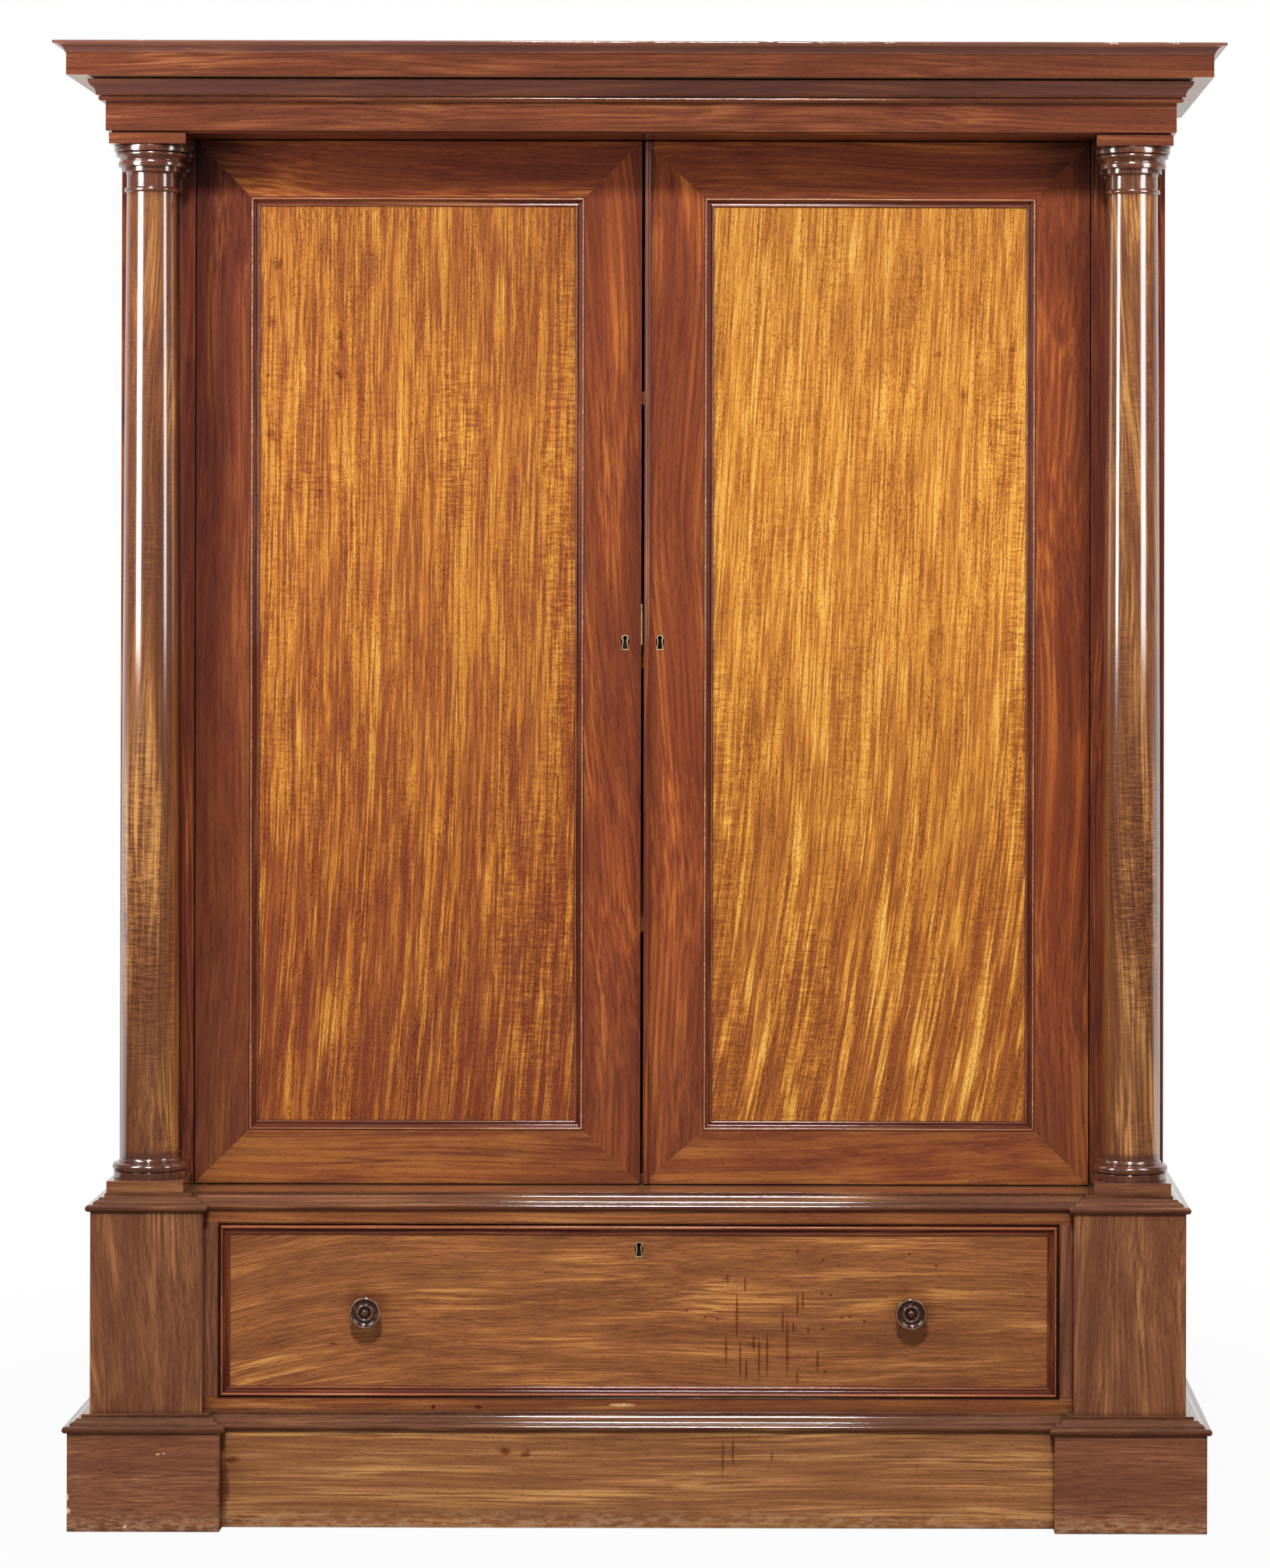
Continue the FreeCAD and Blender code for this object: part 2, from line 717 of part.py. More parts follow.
def make_carcass():
    side_y = door_y + corner_stile_thickness
    stile = block(corner_stile_inner_x, half_carcass, door_y, side_y, deck_z, cornice_z)
    save("corner_stile_left", mirrored(stile))
    save("corner_stile_right", stile)

    side_inner_x = half_carcass - side_thickness
    housing_x = side_inner_x + housing_depth
    side = block(side_inner_x, half_carcass, side_y, back_y, deck_z, cornice_z)
    rebate = block(side_inner_x, housing_x, back_board_y, back_y, deck_z, cornice_z)
    cuts = [rebate]
    shelf_y = door_y + shelf_setback
    pitch = (cupboard_height + shelf_thickness) / (shelf_count + 1)
    for i in range(shelf_count):
        low = deck_z + pitch * (i + 1) - shelf_thickness
        shelf = block(-housing_x, housing_x, shelf_y, back_board_y, low, low + shelf_thickness)
        cuts.append(shelf)
        long_edges = [e for e in shelf.Edges if e.BoundBox.XLength > housing_x]
        front_edges = [e for e in long_edges if e.BoundBox.YMax < back_board_y - shelf_nosing]
        save("shelf_%d" % (i + 1), shelf.makeFillet(shelf_nosing, front_edges))
    side = side.cut(cuts)
    save("carcass_side_left", mirrored(side))
    save("carcass_side_right", side)

    width = 2 * housing_x / back_board_count
    boards = []
    for i in range(back_board_count):
        x = -housing_x + width * i
        board = [
            (x, back_board_y),
            (x + width, back_board_y),
            (x + width, back_y - board_chamfer),
            (x + width - board_chamfer, back_y),
            (x + board_chamfer, back_y),
            (x, back_y - board_chamfer),
        ]
        boards.append(upright_board(board, deck_z, cornice_z))
    save("carcass_back", *boards)

    stop_x = pivot_x - pivot_inset - stop_clearance
    stop_y = door_back_y + stop_clearance
    low_stop = block(-stop_x, stop_x, stop_y, stop_y + door_stop_depth, deck_z, deck_z + door_stop_height)
    save("door_stops", low_stop, moved(low_stop, 0, 0, cupboard_height - door_stop_height))


# ---------------------------------------------------------------- columns

def make_columns():
    height = abacus_z - foot_top_z
    ring = column_square / 2 - ring_inset

    torus_z = foot_band_height
    fillet_z = torus_z + foot_torus_height
    apophyge_z = fillet_z + foot_fillet_height
    shaft_z = apophyge_z + apophyge_height
    torus_nose = foot_torus_height * bead_fullness
    torus_radius = ring - torus_nose
    fillet_radius = shaft_foot_radius + foot_fillet_rise

    cap_torus_top_z = height - top_ring_height
    cavetto_head_z = cap_torus_top_z - cap_torus_height
    cavetto_foot_z = cavetto_head_z - cavetto_height
    cap_ring_z = cavetto_foot_z - cap_ring_height
    cap_fillet_z = cap_ring_z - cap_fillet_height
    necking_z = cap_fillet_z - necking_height
    neck_z = necking_z - astragal_height
    astragal_radius = shaft_neck_radius + astragal_fillet
    cap_fillet_radius = ring - cap_fillet_inset
    cap_ring_radius = ring - cap_ring_inset
    cavetto_radius = ring - cavetto_foot_inset
    cap_nose = cap_torus_height * bead_fullness
    cap_torus_radius = ring - cap_torus_inset - cap_nose

    column = turned(
        (0, 0),
        (ring - foot_band_inset, 0),
        (ring - foot_band_inset, torus_z),
        (torus_radius, torus_z),
        (torus_radius, fillet_z, torus_nose),
        (fillet_radius, fillet_z),
        (fillet_radius, apophyge_z),
        (shaft_foot_radius, shaft_z),
        (shaft_neck_radius, neck_z, shaft_swell),
        (astragal_radius, neck_z),
        (astragal_radius, necking_z, astragal_rise),
        (shaft_neck_radius, necking_z),
        (shaft_neck_radius + necking_flare, cap_fillet_z),
        (cap_fillet_radius, cap_fillet_z),
        (cap_fillet_radius, cap_ring_z),
        (cap_ring_radius, cap_ring_z),
        (cap_ring_radius, cavetto_foot_z),
        (cavetto_radius, cavetto_foot_z),
        (cap_torus_radius, cavetto_head_z, -cavetto_hollow),
        (cap_torus_radius, cap_torus_top_z, cap_nose),
        (ring, cap_torus_top_z),
        (ring, height),
        (0, height),
    )
    half_tenon = column_tenon / 2
    across = (-half_tenon, half_tenon)
    tenon = block(*across, *across, -foot_block_height, height + abacus_height)
    column = moved(column.fuse(tenon), column_x, column_y, foot_top_z)
    save("column_left", mirrored(column))
    save("column_right", column)

    mortise = grown(moved(tenon, column_x, column_y, foot_top_z), tenon_clearance, tenon_clearance, 0)
    square = (column_inner_x, column_outer_x, column_front_y, door_y)
    foot_block = block(*square, deck_z, foot_top_z).cut(mortise)
    save("column_foot_blocks", foot_block, mirrored(foot_block))
    abacus = block(*square, abacus_z, cornice_z).cut(mortise)
    save("column_abaci", abacus, mirrored(abacus))


# ---------------------------------------------------------------- doors

def door_bolt():
    """Bolt of the left-hand door's lock, drawn back, as if in a right-hand door."""
    mid_y = door_lock_y + lock_thickness / 2
    half_thick = bolt_thickness / 2
    low = door_lock_z + door_bolt_height
    across = (meeting_x, meeting_x + bolt_length)
    return block(*across, mid_y - half_thick, mid_y + half_thick, low, low + bolt_width)


def pin_hole(z):
    """Round hole for a hinge pin in a door's leaf, from z up."""
    return Part.makeCylinder(pivot_radius + pivot_clearance, pivot_bearing, vec(pivot_x, pivot_y, z))


def make_door(side):
    """Door on the right for side 1 and on the left for side -1, built on the right and mirrored."""
    name = "door_right" if side > 0 else "door_left"
    inner_x = meeting_x + (beaded_stile_width if side > 0 else meeting_stile_width)
    outer_x = door_edge_x - hinge_stile_width
    low_z = door_low_z + bottom_rail_width
    high_z = door_high_z - top_rail_width
    wide = (inner_x - panel_tongue, outer_x + panel_tongue)
    panel = block(*wide, panel_y, panel_back_y, low_z - panel_tongue, high_z + panel_tongue)
    low_leaf = hinge_leaf(door_low_z)
    high_leaf = hinge_leaf(door_high_z - leaf_thickness)

    lock_corner = vec(meeting_x, door_lock_y, door_lock_z)
    lock = Part.makeBox(door_lock_depth, lock_thickness, door_lock_height, lock_corner)
    bolt = door_bolt()
    bolt_space = socket(mirrored(moved(bolt, -bolt_travel, 0, 0)))
    keyway = keyhole(door_keyhole_x, door_y, door_keyhole_z, door_lock_y - door_y)

    def member(outline, *cuts):
        return handed(front_board(outline, door_y, door_back_y).cut([panel, *cuts]), side)

    low_outer, high_outer = (door_edge_x, door_low_z), (door_edge_x, door_high_z)
    low_meeting, high_meeting = (meeting_x, door_low_z), (meeting_x, door_high_z)
    inner = [(inner_x, low_z), (inner_x, high_z), (outer_x, high_z), (outer_x, low_z)]
    leaves = (low_leaf, high_leaf)
    save(name + "_hinge_stile", member([low_outer, high_outer, inner[2], inner[3]], *leaves))
    lock_cuts = (keyway, bolt_space if side > 0 else lock)
    save(name + "_meeting_stile", member([low_meeting, high_meeting, inner[1], inner[0]], *lock_cuts))
    top_rail = member([high_meeting, high_outer, inner[2], inner[1]], *leaves)
    bottom_rail = member([low_meeting, low_outer, inner[3], inner[0]], *leaves)
    save(name + "_rails", top_rail, bottom_rail)
    save(name + "_panel", handed(panel, side))

    lengths = mitred_lengths(bead_frame_profile(), inner, closed=True)
    save(name + "_moulding", *[handed(stand_up(length, panel_y), side) for length in lengths])
    save(name + "_escutcheon", handed(keyhole_thread(door_keyhole_x, door_y, door_keyhole_z), side))
    drilled = [low_leaf.cut(pin_hole(door_low_z)), high_leaf.cut(pin_hole(door_high_z - pivot_bearing))]
    save(name + "_hinge_leaves", *[handed(leaf, side) for leaf in drilled])

    if side > 0:
        save(name + "_bead", meeting_bead())
    else:
        save(name + "_lock_case", mirrored(lock.cut(grown(bolt, 0, bolt_clearance, bolt_clearance))))
        save(name + "_lock_bolt", mirrored(bolt))


def meeting_bead():
    """Bead with a quirk on each side, on the face of the right-hand door at its meeting edge."""
    shoulder = meeting_bead_rise - meeting_bead_width * bead_fullness
    bead = section(
        (0, 0),
        (meeting_bead_width, 0),
        (meeting_bead_width, shoulder),
        (meeting_bead_width - quirk_height, shoulder),
        (quirk_height, shoulder, meeting_bead_rise - shoulder),
        (0, shoulder),
    )
    strip = bead.extrude(vec(0, door_high_z - door_low_z, 0))
    return moved(stand_up(strip, door_y), meeting_x, 0, door_low_z)


def make_hinge_plates():
    """Fixed leaves in the base top and under the cornice, each with its pin."""
    pin_length = door_end_gap + pivot_bearing
    low_pin = Part.makeCylinder(pivot_radius, pin_length, vec(pivot_x, pivot_y, deck_z))
    high_pin = Part.makeCylinder(pivot_radius, pin_length, vec(pivot_x, pivot_y, cornice_z - pin_length))
    low_plate = hinge_leaf(deck_z - leaf_thickness).fuse(low_pin)
    high_plate = hinge_leaf(cornice_z).fuse(high_pin)
    save("hinge_plates", *both_sides([low_plate, high_plate]))


# ---------------------------------------------------------------- cornice

def make_cornice():
    path = [(-frieze_x, back_y), (-frieze_x, frieze_y), (frieze_x, frieze_y), (frieze_x, back_y)]
    board = section((-frame_thickness, 0), (0, 0), (0, frame_height), (-frame_thickness, frame_height))
    lengths = [moved(length, 0, 0, frieze_z) for length in mitred_lengths(board, path)]
    inner_x = frieze_x - frame_thickness
    rail = block(-inner_x, inner_x, back_y - frame_thickness, back_y, frieze_z, frieze_z + frame_height)
    save("cornice_frame", *lengths, rail)

    deep = (frieze_y + frame_thickness, back_y - frame_thickness)
    panel = block(-inner_x, inner_x, *deep, frieze_z, cornice_z + cornice_board_thickness)
    lip_x = frieze_x - cornice_lip_setback
    lip = block(-lip_x, lip_x, frieze_y + cornice_lip_setback, back_y, cornice_z, frieze_z)
    leaf_seat = hinge_leaf(cornice_z)
    save("cornice_bottom_board", panel.fuse(lip).cut([leaf_seat, mirrored(leaf_seat)]))

    bed = mitred_lengths(bed_profile(), path)
    save("cornice_bed_moulding", *[moved(length, 0, 0, bed_z) for length in bed])
    crown = mitred_lengths(crown_profile(), path)
    save("cornice_crown_moulding", *[moved(length, 0, 0, corona_z) for length in crown])


os.makedirs("parts", exist_ok=True)
make_plinth()
make_base()
make_drawer()
make_carcass()
make_columns()
make_door(-1)
make_door(1)
make_hinge_plates()
make_cornice()
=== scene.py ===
import math

import bmesh
import bpy
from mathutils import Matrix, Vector, noise


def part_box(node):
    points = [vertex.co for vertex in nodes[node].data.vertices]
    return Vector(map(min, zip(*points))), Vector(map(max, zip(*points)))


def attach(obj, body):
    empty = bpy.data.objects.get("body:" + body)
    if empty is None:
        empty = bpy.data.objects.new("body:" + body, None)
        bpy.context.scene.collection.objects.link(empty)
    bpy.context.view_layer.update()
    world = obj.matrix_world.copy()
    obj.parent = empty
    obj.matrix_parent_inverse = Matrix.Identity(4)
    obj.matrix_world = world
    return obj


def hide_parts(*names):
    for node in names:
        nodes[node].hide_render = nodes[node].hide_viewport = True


# Looks of the linen press: dressed CAD nodes, fine mouldings, turned work, floor, light and camera.
# The frame is in metres with +X right, +Y back and +Z up. Plans and profiles are in millimetres.

MM = 0.001
CREASE = math.radians(28)  # sharper edges are shaded as edges, and rounded

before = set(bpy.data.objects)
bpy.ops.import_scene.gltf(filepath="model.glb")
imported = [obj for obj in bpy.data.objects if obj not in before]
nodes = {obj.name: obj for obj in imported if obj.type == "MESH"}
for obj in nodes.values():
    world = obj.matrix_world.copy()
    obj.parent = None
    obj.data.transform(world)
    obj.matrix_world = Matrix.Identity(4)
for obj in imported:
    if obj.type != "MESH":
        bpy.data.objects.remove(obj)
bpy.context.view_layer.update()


# ---- shader nodes

def screen(r, g, b):
    """Colour written as screen values from 0 to 255."""
    channels = []
    for value in (r / 255, g / 255, b / 255):
        channels.append(value / 12.92 if value <= 0.04045 else ((value + 0.055) / 1.055) ** 2.4)
    return (*channels, 1.0)


class Shader:
    """Node tree of a material or a world."""

    def __init__(self, owner):
        owner.use_nodes = True
        self.owner = owner
        self.tree = owner.node_tree
        self.tree.nodes.clear()

    def node(self, kind, inputs=None, **settings):
        made = self.tree.nodes.new(kind)
        for key, value in settings.items():
            setattr(made, key, value)
        for key, value in (inputs or {}).items():
            socket = made.inputs[key]
            if isinstance(value, bpy.types.NodeSocket):
                self.tree.links.new(value, socket)
            else:
                socket.default_value = value
        return made

    def math(self, operation, *values):
        return self.node("ShaderNodeMath", dict(enumerate(values)), operation=operation).outputs[0]

    def times(self, first, *others):
        for other in others:
            first = self.math("MULTIPLY", first, other)
        return first

    def most(self, first, *others):
        for other in others:
            first = self.math("MAXIMUM", first, other)
        return first

    def plus(self, total, part, share):
        """total + part * share"""
        return self.math("MULTIPLY_ADD", part, share, total)

    def minus(self, first, second):
        return self.math("SUBTRACT", first, second)

    def size_of(self, value):
        return self.math("ABSOLUTE", value)

    def vector(self, operation, *values):
        return self.node("ShaderNodeVectorMath", dict(enumerate(values)), operation=operation).outputs[0]

    def number(self, operation, *vectors):
        """Number that a vector operation gives, such as a length."""
        made = self.node("ShaderNodeVectorMath", dict(enumerate(vectors)), operation=operation)
        return made.outputs["Value"]

    def split(self, vector):
        return self.node("ShaderNodeSeparateXYZ", {0: vector}).outputs

    def join(self, x, y, z):
        return self.node("ShaderNodeCombineXYZ", {0: x, 1: y, 2: z}).outputs[0]

    def place(self):
        """Point on the piece in metres."""
        return self.node("ShaderNodeTexCoord").outputs["Object"]

    def normal(self):
        return self.node("ShaderNodeNewGeometry").outputs["Normal"]

    def stretch(self, vector, factors, offset):
        return self.vector("MULTIPLY_ADD", vector, factors, offset)

    def noise(self, vector, factors, detail, roughness, offset=(0, 0, 0), output="Fac"):
        """Noise with factors cells in each metre."""
        inputs = {"Vector": self.stretch(vector, factors, offset), "Scale": 1.0}
        inputs.update({"Detail": detail, "Roughness": roughness})
        return self.node("ShaderNodeTexNoise", inputs).outputs[output]

    def between(self, value, low, high, to_low=0.0, to_high=1.0):
        """Smooth step from to_low at low to to_high at high."""
        inputs = {"Value": value, "From Min": low, "From Max": high, "To Min": to_low, "To Max": to_high}
        return self.node("ShaderNodeMapRange", inputs, interpolation_type="SMOOTHSTEP").outputs[0]

    def ramp(self, value, tones):
        made = self.node("ShaderNodeValToRGB", {"Fac": value})
        points = made.color_ramp.elements
        while len(points) < len(tones):
            points.new(0.5)
        for point, (position, colour) in zip(points, tones):
            point.position = position
            point.color = colour
        return made.outputs["Color"]

    def blend(self, factor, first, second, mode="MIX"):
        inputs = {0: factor, 6: first, 7: second}
        return self.node("ShaderNodeMix", inputs, data_type="RGBA", blend_type=mode).outputs[2]

    def darken(self, colour, mask, tint):
        """Colour multiplied by a tint where the mask is 1."""
        return self.blend(mask, colour, self.blend(1.0, colour, (*tint, 1), "MULTIPLY"))

    def spot(self, vector, x, z, width, height, soft=0.5):
        """Mask of an ellipse on a front face, from its middle and half sizes in millimetres."""
        scale = (1000 / width, 0, 1000 / height)
        offset = (-x / width, 0, -z / height)
        reach = self.number("LENGTH", self.stretch(vector, scale, offset))
        return self.between(reach, soft, 1.0, 1.0, 0.0)

    def spots(self, vector, ellipses, soft=0.5, mask=0.0):
        return self.most(mask, *[self.spot(vector, *ellipse, soft) for ellipse in ellipses])

    def scatter(self, place, cells, detail, roughness, reach):
        """Place moved by noise, so that spots get ragged outlines."""
        push = self.noise(place, (cells, cells, cells), detail, roughness, output="Color")
        start = self.vector("SUBTRACT", place, (reach / 2, 0, reach / 2))
        return self.vector("MULTIPLY_ADD", push, (reach, 0, reach), start)

    def surface(self, colour, roughness, height, **values):
        """Material from its colour, roughness and relief in millimetres."""
        bump = self.node("ShaderNodeBump", {"Height": height, "Strength": 1.0, "Distance": MM}).outputs[0]
        inputs = {"Base Color": colour, "Roughness": roughness, "Normal": bump, "Coat Normal": bump}
        inputs.update(values)
        shader = self.node("ShaderNodeBsdfPrincipled", inputs)
        self.node("ShaderNodeOutputMaterial", {"Surface": shader.outputs[0]})
        return self.owner


def new_shader(name):
    return Shader(bpy.data.materials.new(name))


# ---- timber

TONES = {
    # four tones of a wood from dark to light, in screen values
    "frame": ((62, 25, 18), (106, 49, 33), (138, 70, 39), (178, 106, 50)),
    # column_shaded_frame is a darker copy of the frame tones: painted shade of the left column on the left
    # door's hinge stile.
    "column_shaded_frame": ((50, 18, 13), (92, 40, 29), (118, 58, 36), (150, 84, 44)),
    "flame": ((70, 27, 18), (119, 56, 34), (152, 78, 40), (196, 114, 50)),
    "panel_left": ((124, 60, 34), (156, 87, 41), (194, 124, 46), (226, 169, 78)),
    "panel_right": ((144, 78, 36), (184, 114, 45), (220, 152, 59), (240, 192, 98)),
    "drawer": ((92, 53, 32), (136, 81, 47), (165, 104, 57), (206, 144, 78)),
    "plinth": ((96, 58, 36), (142, 89, 54), (170, 114, 68), (208, 152, 90)),
    "base": ((78, 42, 30), (116, 69, 46), (144, 92, 58), (180, 126, 76)),
    "rail": ((90, 44, 28), (128, 71, 41), (154, 92, 51), (190, 130, 72)),
    "column": ((70, 32, 20), (114, 64, 37), (150, 94, 50), (208, 148, 80)),
    "knob": ((34, 18, 14), (62, 35, 27), (88, 56, 42), (128, 92, 70)),
    "cornice": ((62, 27, 18), (100, 50, 32), (124, 67, 40), (156, 96, 58)),
    "moulding": ((50, 20, 14), (84, 36, 23), (112, 54, 32), (150, 88, 52)),
    # lit_moulding and crest are lighter copies of the moulding tones, used for painted highlights on bead
    # crests.
    "lit_moulding": ((120, 64, 40), (156, 90, 58), (184, 114, 76), (212, 150, 108)),
    "crest": ((126, 72, 50), (162, 104, 74), (192, 134, 98), (216, 168, 130)),
    "cap": ((56, 28, 19), (90, 49, 31), (116, 69, 43), (166, 114, 74)),
    "block": ((74, 37, 29), (116, 68, 48), (142, 89, 61), (182, 128, 86)),
    "inside": ((120, 70, 40), (150, 96, 58), (172, 116, 72), (194, 140, 92)),
    "pine": ((158, 106, 60), (190, 138, 86), (212, 162, 106), (228, 186, 132)),
}
TONE_VALUES = (0.08, 0.4, 0.62, 0.95)  # value of the grain at each tone

SEED_OFFSET = (1.37, 0.73, 2.11)
BOARD_OFFSET, BOARD_CONTRAST = (0.71, 0.0, 3.3), 0.55
LAYER_ROUGHNESS = 0.58

PORE_TINT, DRIFT_TINT = (0.46, 0.28, 0.24), (0.68, 0.7, 0.78)
DUST_COLOUR = screen(168, 138, 112)
EDGE_RADIUS, CORNER_REACH = 0.0016, 0.014  # metres of rubbed edge and of painted shade in a corner


class Timber:
    """Wood with its grain along one axis. Layers of grain are (cells across, cells along, strength)."""

    figure = (30, 4, 0.8)  # flames
    streak = (240, 3.5, 0.6)  # lines
    fibre = (620, 9, 0.45)
    cloud = (40, 8, 0.1)
    lean = 0.0  # slope of the grain
    bend = 0.03  # metres that it wanders
    arc = None  # (start, strength) of a bow in it
    boards = 0.0  # width of boards side by side
    clump = 0.75  # how far flames gather on lines
    crisp = 0.0  # lines with hard edges
    glint = 0.0  # bright lines in flames
    broad = 0.0  # golden streaks toward the foot
    ripple = None  # (strength, ellipses) of cross ripples
    dots = 0.0  # dark flecks
    fade = None  # (low, high, drop) of the change in value toward the foot
    drift_share = 0.3  # dark drifts along the grain
    marks = None  # function that adds marks of use, painted shade and painted highlights
    edges = 0.35  # rubbed edges
    dust = 0.0
    polish = 1.0  # 0 is bare wood
    upright_polish = False  # less polish on level faces
    coat_ior = 1.5
    coat_roughness = 0.08
    relief = 1.0  # depth of pores and waves

    def __init__(self, name, tone, grain, seed, **options):
        vars(self).update(options)
        self.seed = seed
        self.tones = [screen(*tone_colour) for tone_colour in TONES[tone]]
        self.shader = s = new_shader(name)
        self.place, self.normal = s.place(), s.normal()
        self.z = s.split(self.place)[2]
        self.flow, self.board = self.lay_grain(grain)
        self.flames = self.layer(self.figure, 1, (0, 0, 0))
        self.lines = self.layer(self.streak, 1, (2, 7, 1))
        self.fibres = self.layer(self.fibre, 2, (5, 1, 3))
        self.mottle = self.layer(self.cloud, 3, (9, 4, 2))
        self.pores = s.between(s.noise(self.flow, (900, 900, 100), 1, 0.5, (4, 4, 9)), 0.55, 0.7)
        self.patchy = s.noise(self.place, (90, 90, 90), 2, 0.6, (2, 5, 9))

    def lay_grain(self, grain):
        """Coordinates that follow the grain, and the number of the board."""
        s = self.shader
        x, y, z = s.split(self.place)
        across, depth, along = {"X": (z, y, x), "Y": (z, x, y), "Z": (x, y, z)}[grain]
        across = s.plus(across, along, self.lean)
        if self.arc:
            start, curve = self.arc
            reach = s.math("MINIMUM", s.minus(along, start), 0.0)
            across = s.plus(across, s.times(reach, reach), curve)
        offset = tuple(self.seed * factor for factor in SEED_OFFSET)
        flow, board = s.stretch(s.join(across, depth, along), (1, 1, 1), offset), None
        if self.boards:
            board = s.math("FLOOR", s.math("DIVIDE", across, self.boards))
            flow = s.vector("MULTIPLY_ADD", s.join(board, board, board), BOARD_OFFSET, flow)
        for cells, roughness, reach in (((3.0, 3.0, 1.3), 0.4, 2 * self.bend), ((30, 30, 9), 0.5, 0.002)):
            push = s.noise(flow, cells, 1, roughness, output="Color")
            flow = s.vector("MULTIPLY_ADD", push, (reach, reach, 0), flow)
        return flow, board

    def layer(self, sizes, detail, offset):
        across, along, _ = sizes
        return self.shader.noise(self.flow, (across, across, along), detail, LAYER_ROUGHNESS, offset)

    def add(self, value, part, strength):
        return self.shader.plus(value, self.shader.minus(part, 0.5), strength)

    def by_height(self, strength, low_share, high_share):
        """Strength of lines. In wood with golden streaks it changes with height."""
        if not self.broad:
            return strength
        low, high, _ = self.fade
        return self.shader.between(self.z, low, high, low_share * strength, high_share * strength)

    def grain_value(self):
        """Flames, lines, fibres and mottle as one value around 0.5."""
        s = self.shader
        clusters = s.between(self.lines, 0.36, 0.64, 1 - self.clump, 1 + self.clump)
        flames = s.most(s.minus(self.flames, 0.5), s.plus(-0.25, self.flames, 0.5))
        value = s.plus(0.49, s.times(flames, clusters), self.figure[2])
        value = self.add(value, self.lines, self.by_height(self.streak[2], 0.8, 0.6))
        if self.crisp:
            hard = s.between(s.plus(self.lines, self.fibres, 0.25), 0.58, 0.67)
            value = self.add(value, hard, self.by_height(self.crisp, 0.8, 0.7))
        if self.glint:
            bright = s.times(s.between(self.lines, 0.52, 0.64), s.between(flames, 0.0, 0.08))
            value = s.plus(value, bright, self.glint)
        value = self.add(value, self.fibres, self.fibre[2])
        value = self.add(value, self.mottle, self.cloud[2])
        if self.boards:
            lot = s.node("ShaderNodeTexWhiteNoise", {"W": self.board}, noise_dimensions="1D")
            value = self.add(value, lot.outputs["Value"], BOARD_CONTRAST)
        return value

    def rippled(self, value, dark):
        s = self.shader
        strength, ellipses = self.ripple
        area = s.noise(self.flow, (9, 9, 4), 1, 0.5, (1, 8, 6))
        where = s.spots(self.place, ellipses, mask=s.between(area, 0.46, 0.62, 0.0, 0.5))
        waves = s.noise(self.flow, (50, 50, 340), 2, 0.6, (3, 3, 3))
        value = s.plus(value, s.times(s.minus(waves, 0.5), where), strength)
        dashes = s.between(s.noise(self.flow, (90, 90, 520), 2, 0.6, (6, 1, 8)), 0.6, 0.68, 0.0, 0.8)
        return value, s.most(dark, s.times(dashes, where))

    def faded(self, value):
        s = self.shader
        low, high, drop = self.fade
        falling = s.between(self.z, low, high, 1.0, 0.0)
        patches = s.between(self.mottle, 0.4, 0.6, 1.3, 0.7)
        value = s.minus(value, s.times(falling, patches, drop))
        if self.broad:
            golden = s.noise(self.flow, (88, 88, 4.5), 2, 0.6, (5, 5, 5))
            golden = s.between(golden, 0.5, 0.62, -0.35, 0.65)
            value = s.plus(value, s.times(golden, falling), self.broad)
        return value

    def flecks(self):
        s = self.shader
        bands = s.between(s.noise(self.flow, (38, 38, 2), 1, 0.5, (4, 9, 1)), 0.4, 0.6, 0.05, -0.03)
        flecks = s.math("ADD", s.noise(self.flow, (520, 520, 230), 1, 0.5, (7, 2, 5)), bands)
        return s.between(flecks, 0.58, 0.68, 0.0, self.dots)

    def clean_colour(self):
        s = self.shader
        value, dark = self.grain_value(), s.times(self.pores, 0.5)
        if self.ripple:
            value, dark = self.rippled(value, dark)
        if self.fade:
            value = self.faded(value)
        colour = s.ramp(value, list(zip(TONE_VALUES, self.tones)))
        if self.dots:
            dark = s.most(dark, self.flecks())
        colour = s.darken(colour, dark, PORE_TINT)
        drift = s.noise(self.flow, (13, 13, 1.1), 1, 0.5, (8, 3, 6))
        colour = s.darken(colour, s.between(drift, 0.38, 0.62, 0.0, self.drift_share), DRIFT_TINT)
        return self.marks(s, colour, self.place) if self.marks else colour

    def worn_and_shaded_colour(self):
        s = self.shader
        colour = self.clean_colour()
        if self.edges:
            rounded = s.node("ShaderNodeBevel", {"Radius": EDGE_RADIUS}, samples=4).outputs[0]
            turn = s.number("DOT_PRODUCT", rounded, self.normal)
            wear_and_highlight = s.times(s.between(turn, 0.9, 0.995, 1.0, 0.0), s.between(self.patchy, 0.4, 0.62))
            colour = s.blend(s.times(wear_and_highlight, self.edges), colour, self.tones[3])
        # Painted shade: the colour is darkened in corners and recesses that ambient occlusion finds.
        open_air = s.node("ShaderNodeAmbientOcclusion", {"Distance": CORNER_REACH}, samples=4).outputs["AO"]
        corner_shade = s.between(open_air, 0.25, 0.85, 0.3, 1.0)
        colour = s.blend(1.0, colour, s.join(corner_shade, corner_shade, corner_shade), "MULTIPLY")
        if self.dust:
            rise = s.split(self.normal)[2]
            nook = s.times(s.between(open_air, 0.1, 0.75, 1.0, 0.0), s.between(rise, -0.3, 0.2))
            nook = s.times(nook, s.between(self.patchy, 0.45, 0.6))
            lying = s.most(s.times(s.between(rise, 0.25, 1.0), 0.8), nook)
            colour = s.blend(s.times(lying, self.dust), colour, DUST_COLOUR)
        return colour

    def height(self):
        """Open pores, waves and fibres, in millimetres."""
        s = self.shader
        pore, fibre = (-0.012 * self.relief, 0.008 * self.relief) if self.polish else (-0.12, 0.1)
        waves = s.noise(self.place, (9, 9, 5), 1, 0.4, (self.seed, 0, 0))
        height = s.plus(s.times(self.pores, pore), waves, 0.06 * self.relief)
        return s.plus(height, self.fibres, fibre)

